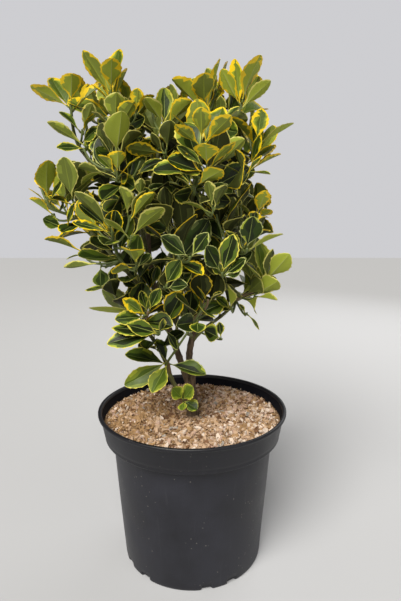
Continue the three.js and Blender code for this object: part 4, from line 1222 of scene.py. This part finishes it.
def make_foliage():
    finishes = [leaf_finish(name, *values) for name, values in LEAF_FINISHES.items()]
    twigs = [twig_finish(name, *values) for name, values in TWIG_FINISHES.items()]
    for path, radii in limbs.values():
        for start in range(0, LIMB_STEPS, LIMB_LENGTHS):
            place_tube(path[start:start + LIMB_LENGTHS + 1], radii)
    shoots = [shoots_of(mass, index) for index, mass in enumerate(MASSES)]
    for shoot in (shoot for mass_shoots in shoots for shoot in mass_shoots):
        place_tube(shoot["path"], shoot["radii"])
    # shown leaves first, so that the others grow where these leave room
    grown = [[leaf for number, shoot in enumerate(shoots[index]) for leaf in grow_shown(index, shoot, number)]
             for index in range(len(MASSES))]
    placed["shown"] = np.concatenate(placed["shown"], axis=1)
    for index in range(len(MASSES)):
        for number, shoot in enumerate(shoots[index]):
            grown[index] += grow_leaves(index, shoot, number, "shoot")
    for index, mass in enumerate(MASSES):
        if not mass["side"]:
            grown[index] += grow_leaves(index, bough_shoot(mass), BOUGH_LEAVES["number"], "bough")
    for index, mass in enumerate(MASSES):
        heap = Heap()
        for leaf in grown[index]:
            draw_leaf(heap, leaf)
        heap.piece(f"leaves_{mass['name']}", finishes, "foliage", f"foliage_{mass['name']}")
        heap = Heap()
        brown = mass["centre"][2] < TWIG["brown_below"] and mass["size"] == 1
        for number, shoot in enumerate(shoots[index]):
            # a side shoot on which no leaf found room isn't drawn
            if number and not any(leaf["keys"][1] == number for leaf in grown[index]):
                continue
            radii = shoot["radii"]
            tube(heap, shoot["path"], lambda share, turn: mix(*radii, share) * (
                1 + TWIG["ridge"] * math.cos(TWIG["ridges"] * turn)), TWIG["sides"], int(number == 0 and brown))
        if mass["name"] == "lowest":
            foot, end = seen_at(*LONG_TWIG["from"]), seen_at(*LONG_TWIG["to"])
            path = bezier(foot, (foot + end) / 2 + (0, -LONG_TWIG["bend"], 0), end)
            tube(heap, spaced(path, LONG_TWIG["steps"]), lambda share, turn: mix(*LONG_TWIG["radii"], share),
                 TWIG["sides"])
        heap.piece(f"twigs_{mass['name']}", twigs, "foliage")


# ---- stage, in metres ----
STUDIO = {"half": 4, "floor": (0.52, 0.525, 0.55), "aim": (0, 0, 0.35)}
# The strength and the colour of the world as it lights the plant, and as the camera sees it
WORLD = {"lighting": (0.088, (0.88, 0.85, 0.74)), "seen": (0.75, (0.82, 0.82, 0.85))}
# Each light's kind, place, size (the sun's is an angle), power and colour
LIGHTS = {
    "key": ("SUN", (-0.6, -1.5, 2.1), 0.7, 4.4, (1, 0.975, 0.91)),
    "fill": ("AREA", (1.6, -1.4, 1.2), 1.6, 6, (1, 0.98, 0.93)),
    "back": ("AREA", (0.9, 1.3, 1.2), 1.4, 9, (1, 1, 1)),
}


def make_stage():
    half = STUDIO["half"]
    mesh = bpy.data.meshes.new("floor")
    mesh.from_pydata([(-half, -half, 0), (half, -half, 0), (half, half, 0), (-half, half, 0)], [], [(0, 1, 2, 3)])
    mesh.materials.append(finish("floor_pale", STUDIO["floor"], 0.9).block)
    linked("floor", mesh)

    world = bpy.data.worlds.new("studio")
    bpy.context.scene.world = world
    made = Finish(world, "Background")
    seen = made.node("LightPath", {}, "Is Camera Ray")
    strengths, colours = zip(WORLD["lighting"], WORLD["seen"])
    made.set(Strength=made.ranged(seen, 0.0, 1.0, *strengths), Color=made.blend(seen, *colours))

    for name, (kind, at, size, power, colour) in LIGHTS.items():
        light = bpy.data.lights.new(name, kind)
        light.energy, light.color = power, colour
        setattr(light, "angle" if kind == "SUN" else "size", size)
        obj = linked(name, light)
        obj.location = at
        obj.rotation_euler = (Vector(STUDIO["aim"]) - Vector(at)).to_track_quat("-Z", "Y").to_euler()

    data = bpy.data.cameras.new("camera")
    data.lens, data.sensor_width, data.sensor_fit = CAMERA["lens"], CAMERA["sensor"], "AUTO"
    camera = linked("camera", data)
    camera.location = Vector(CAMERA["at"]) * MM
    camera.rotation_euler = (math.radians(90 - CAMERA["pitch_down"]), 0, 0)
    bpy.context.scene.camera = camera
    bpy.context.scene.view_settings.view_transform = "Standard"


make_stage()
make_pot()
make_mulch()
make_limbs()
make_foliage()
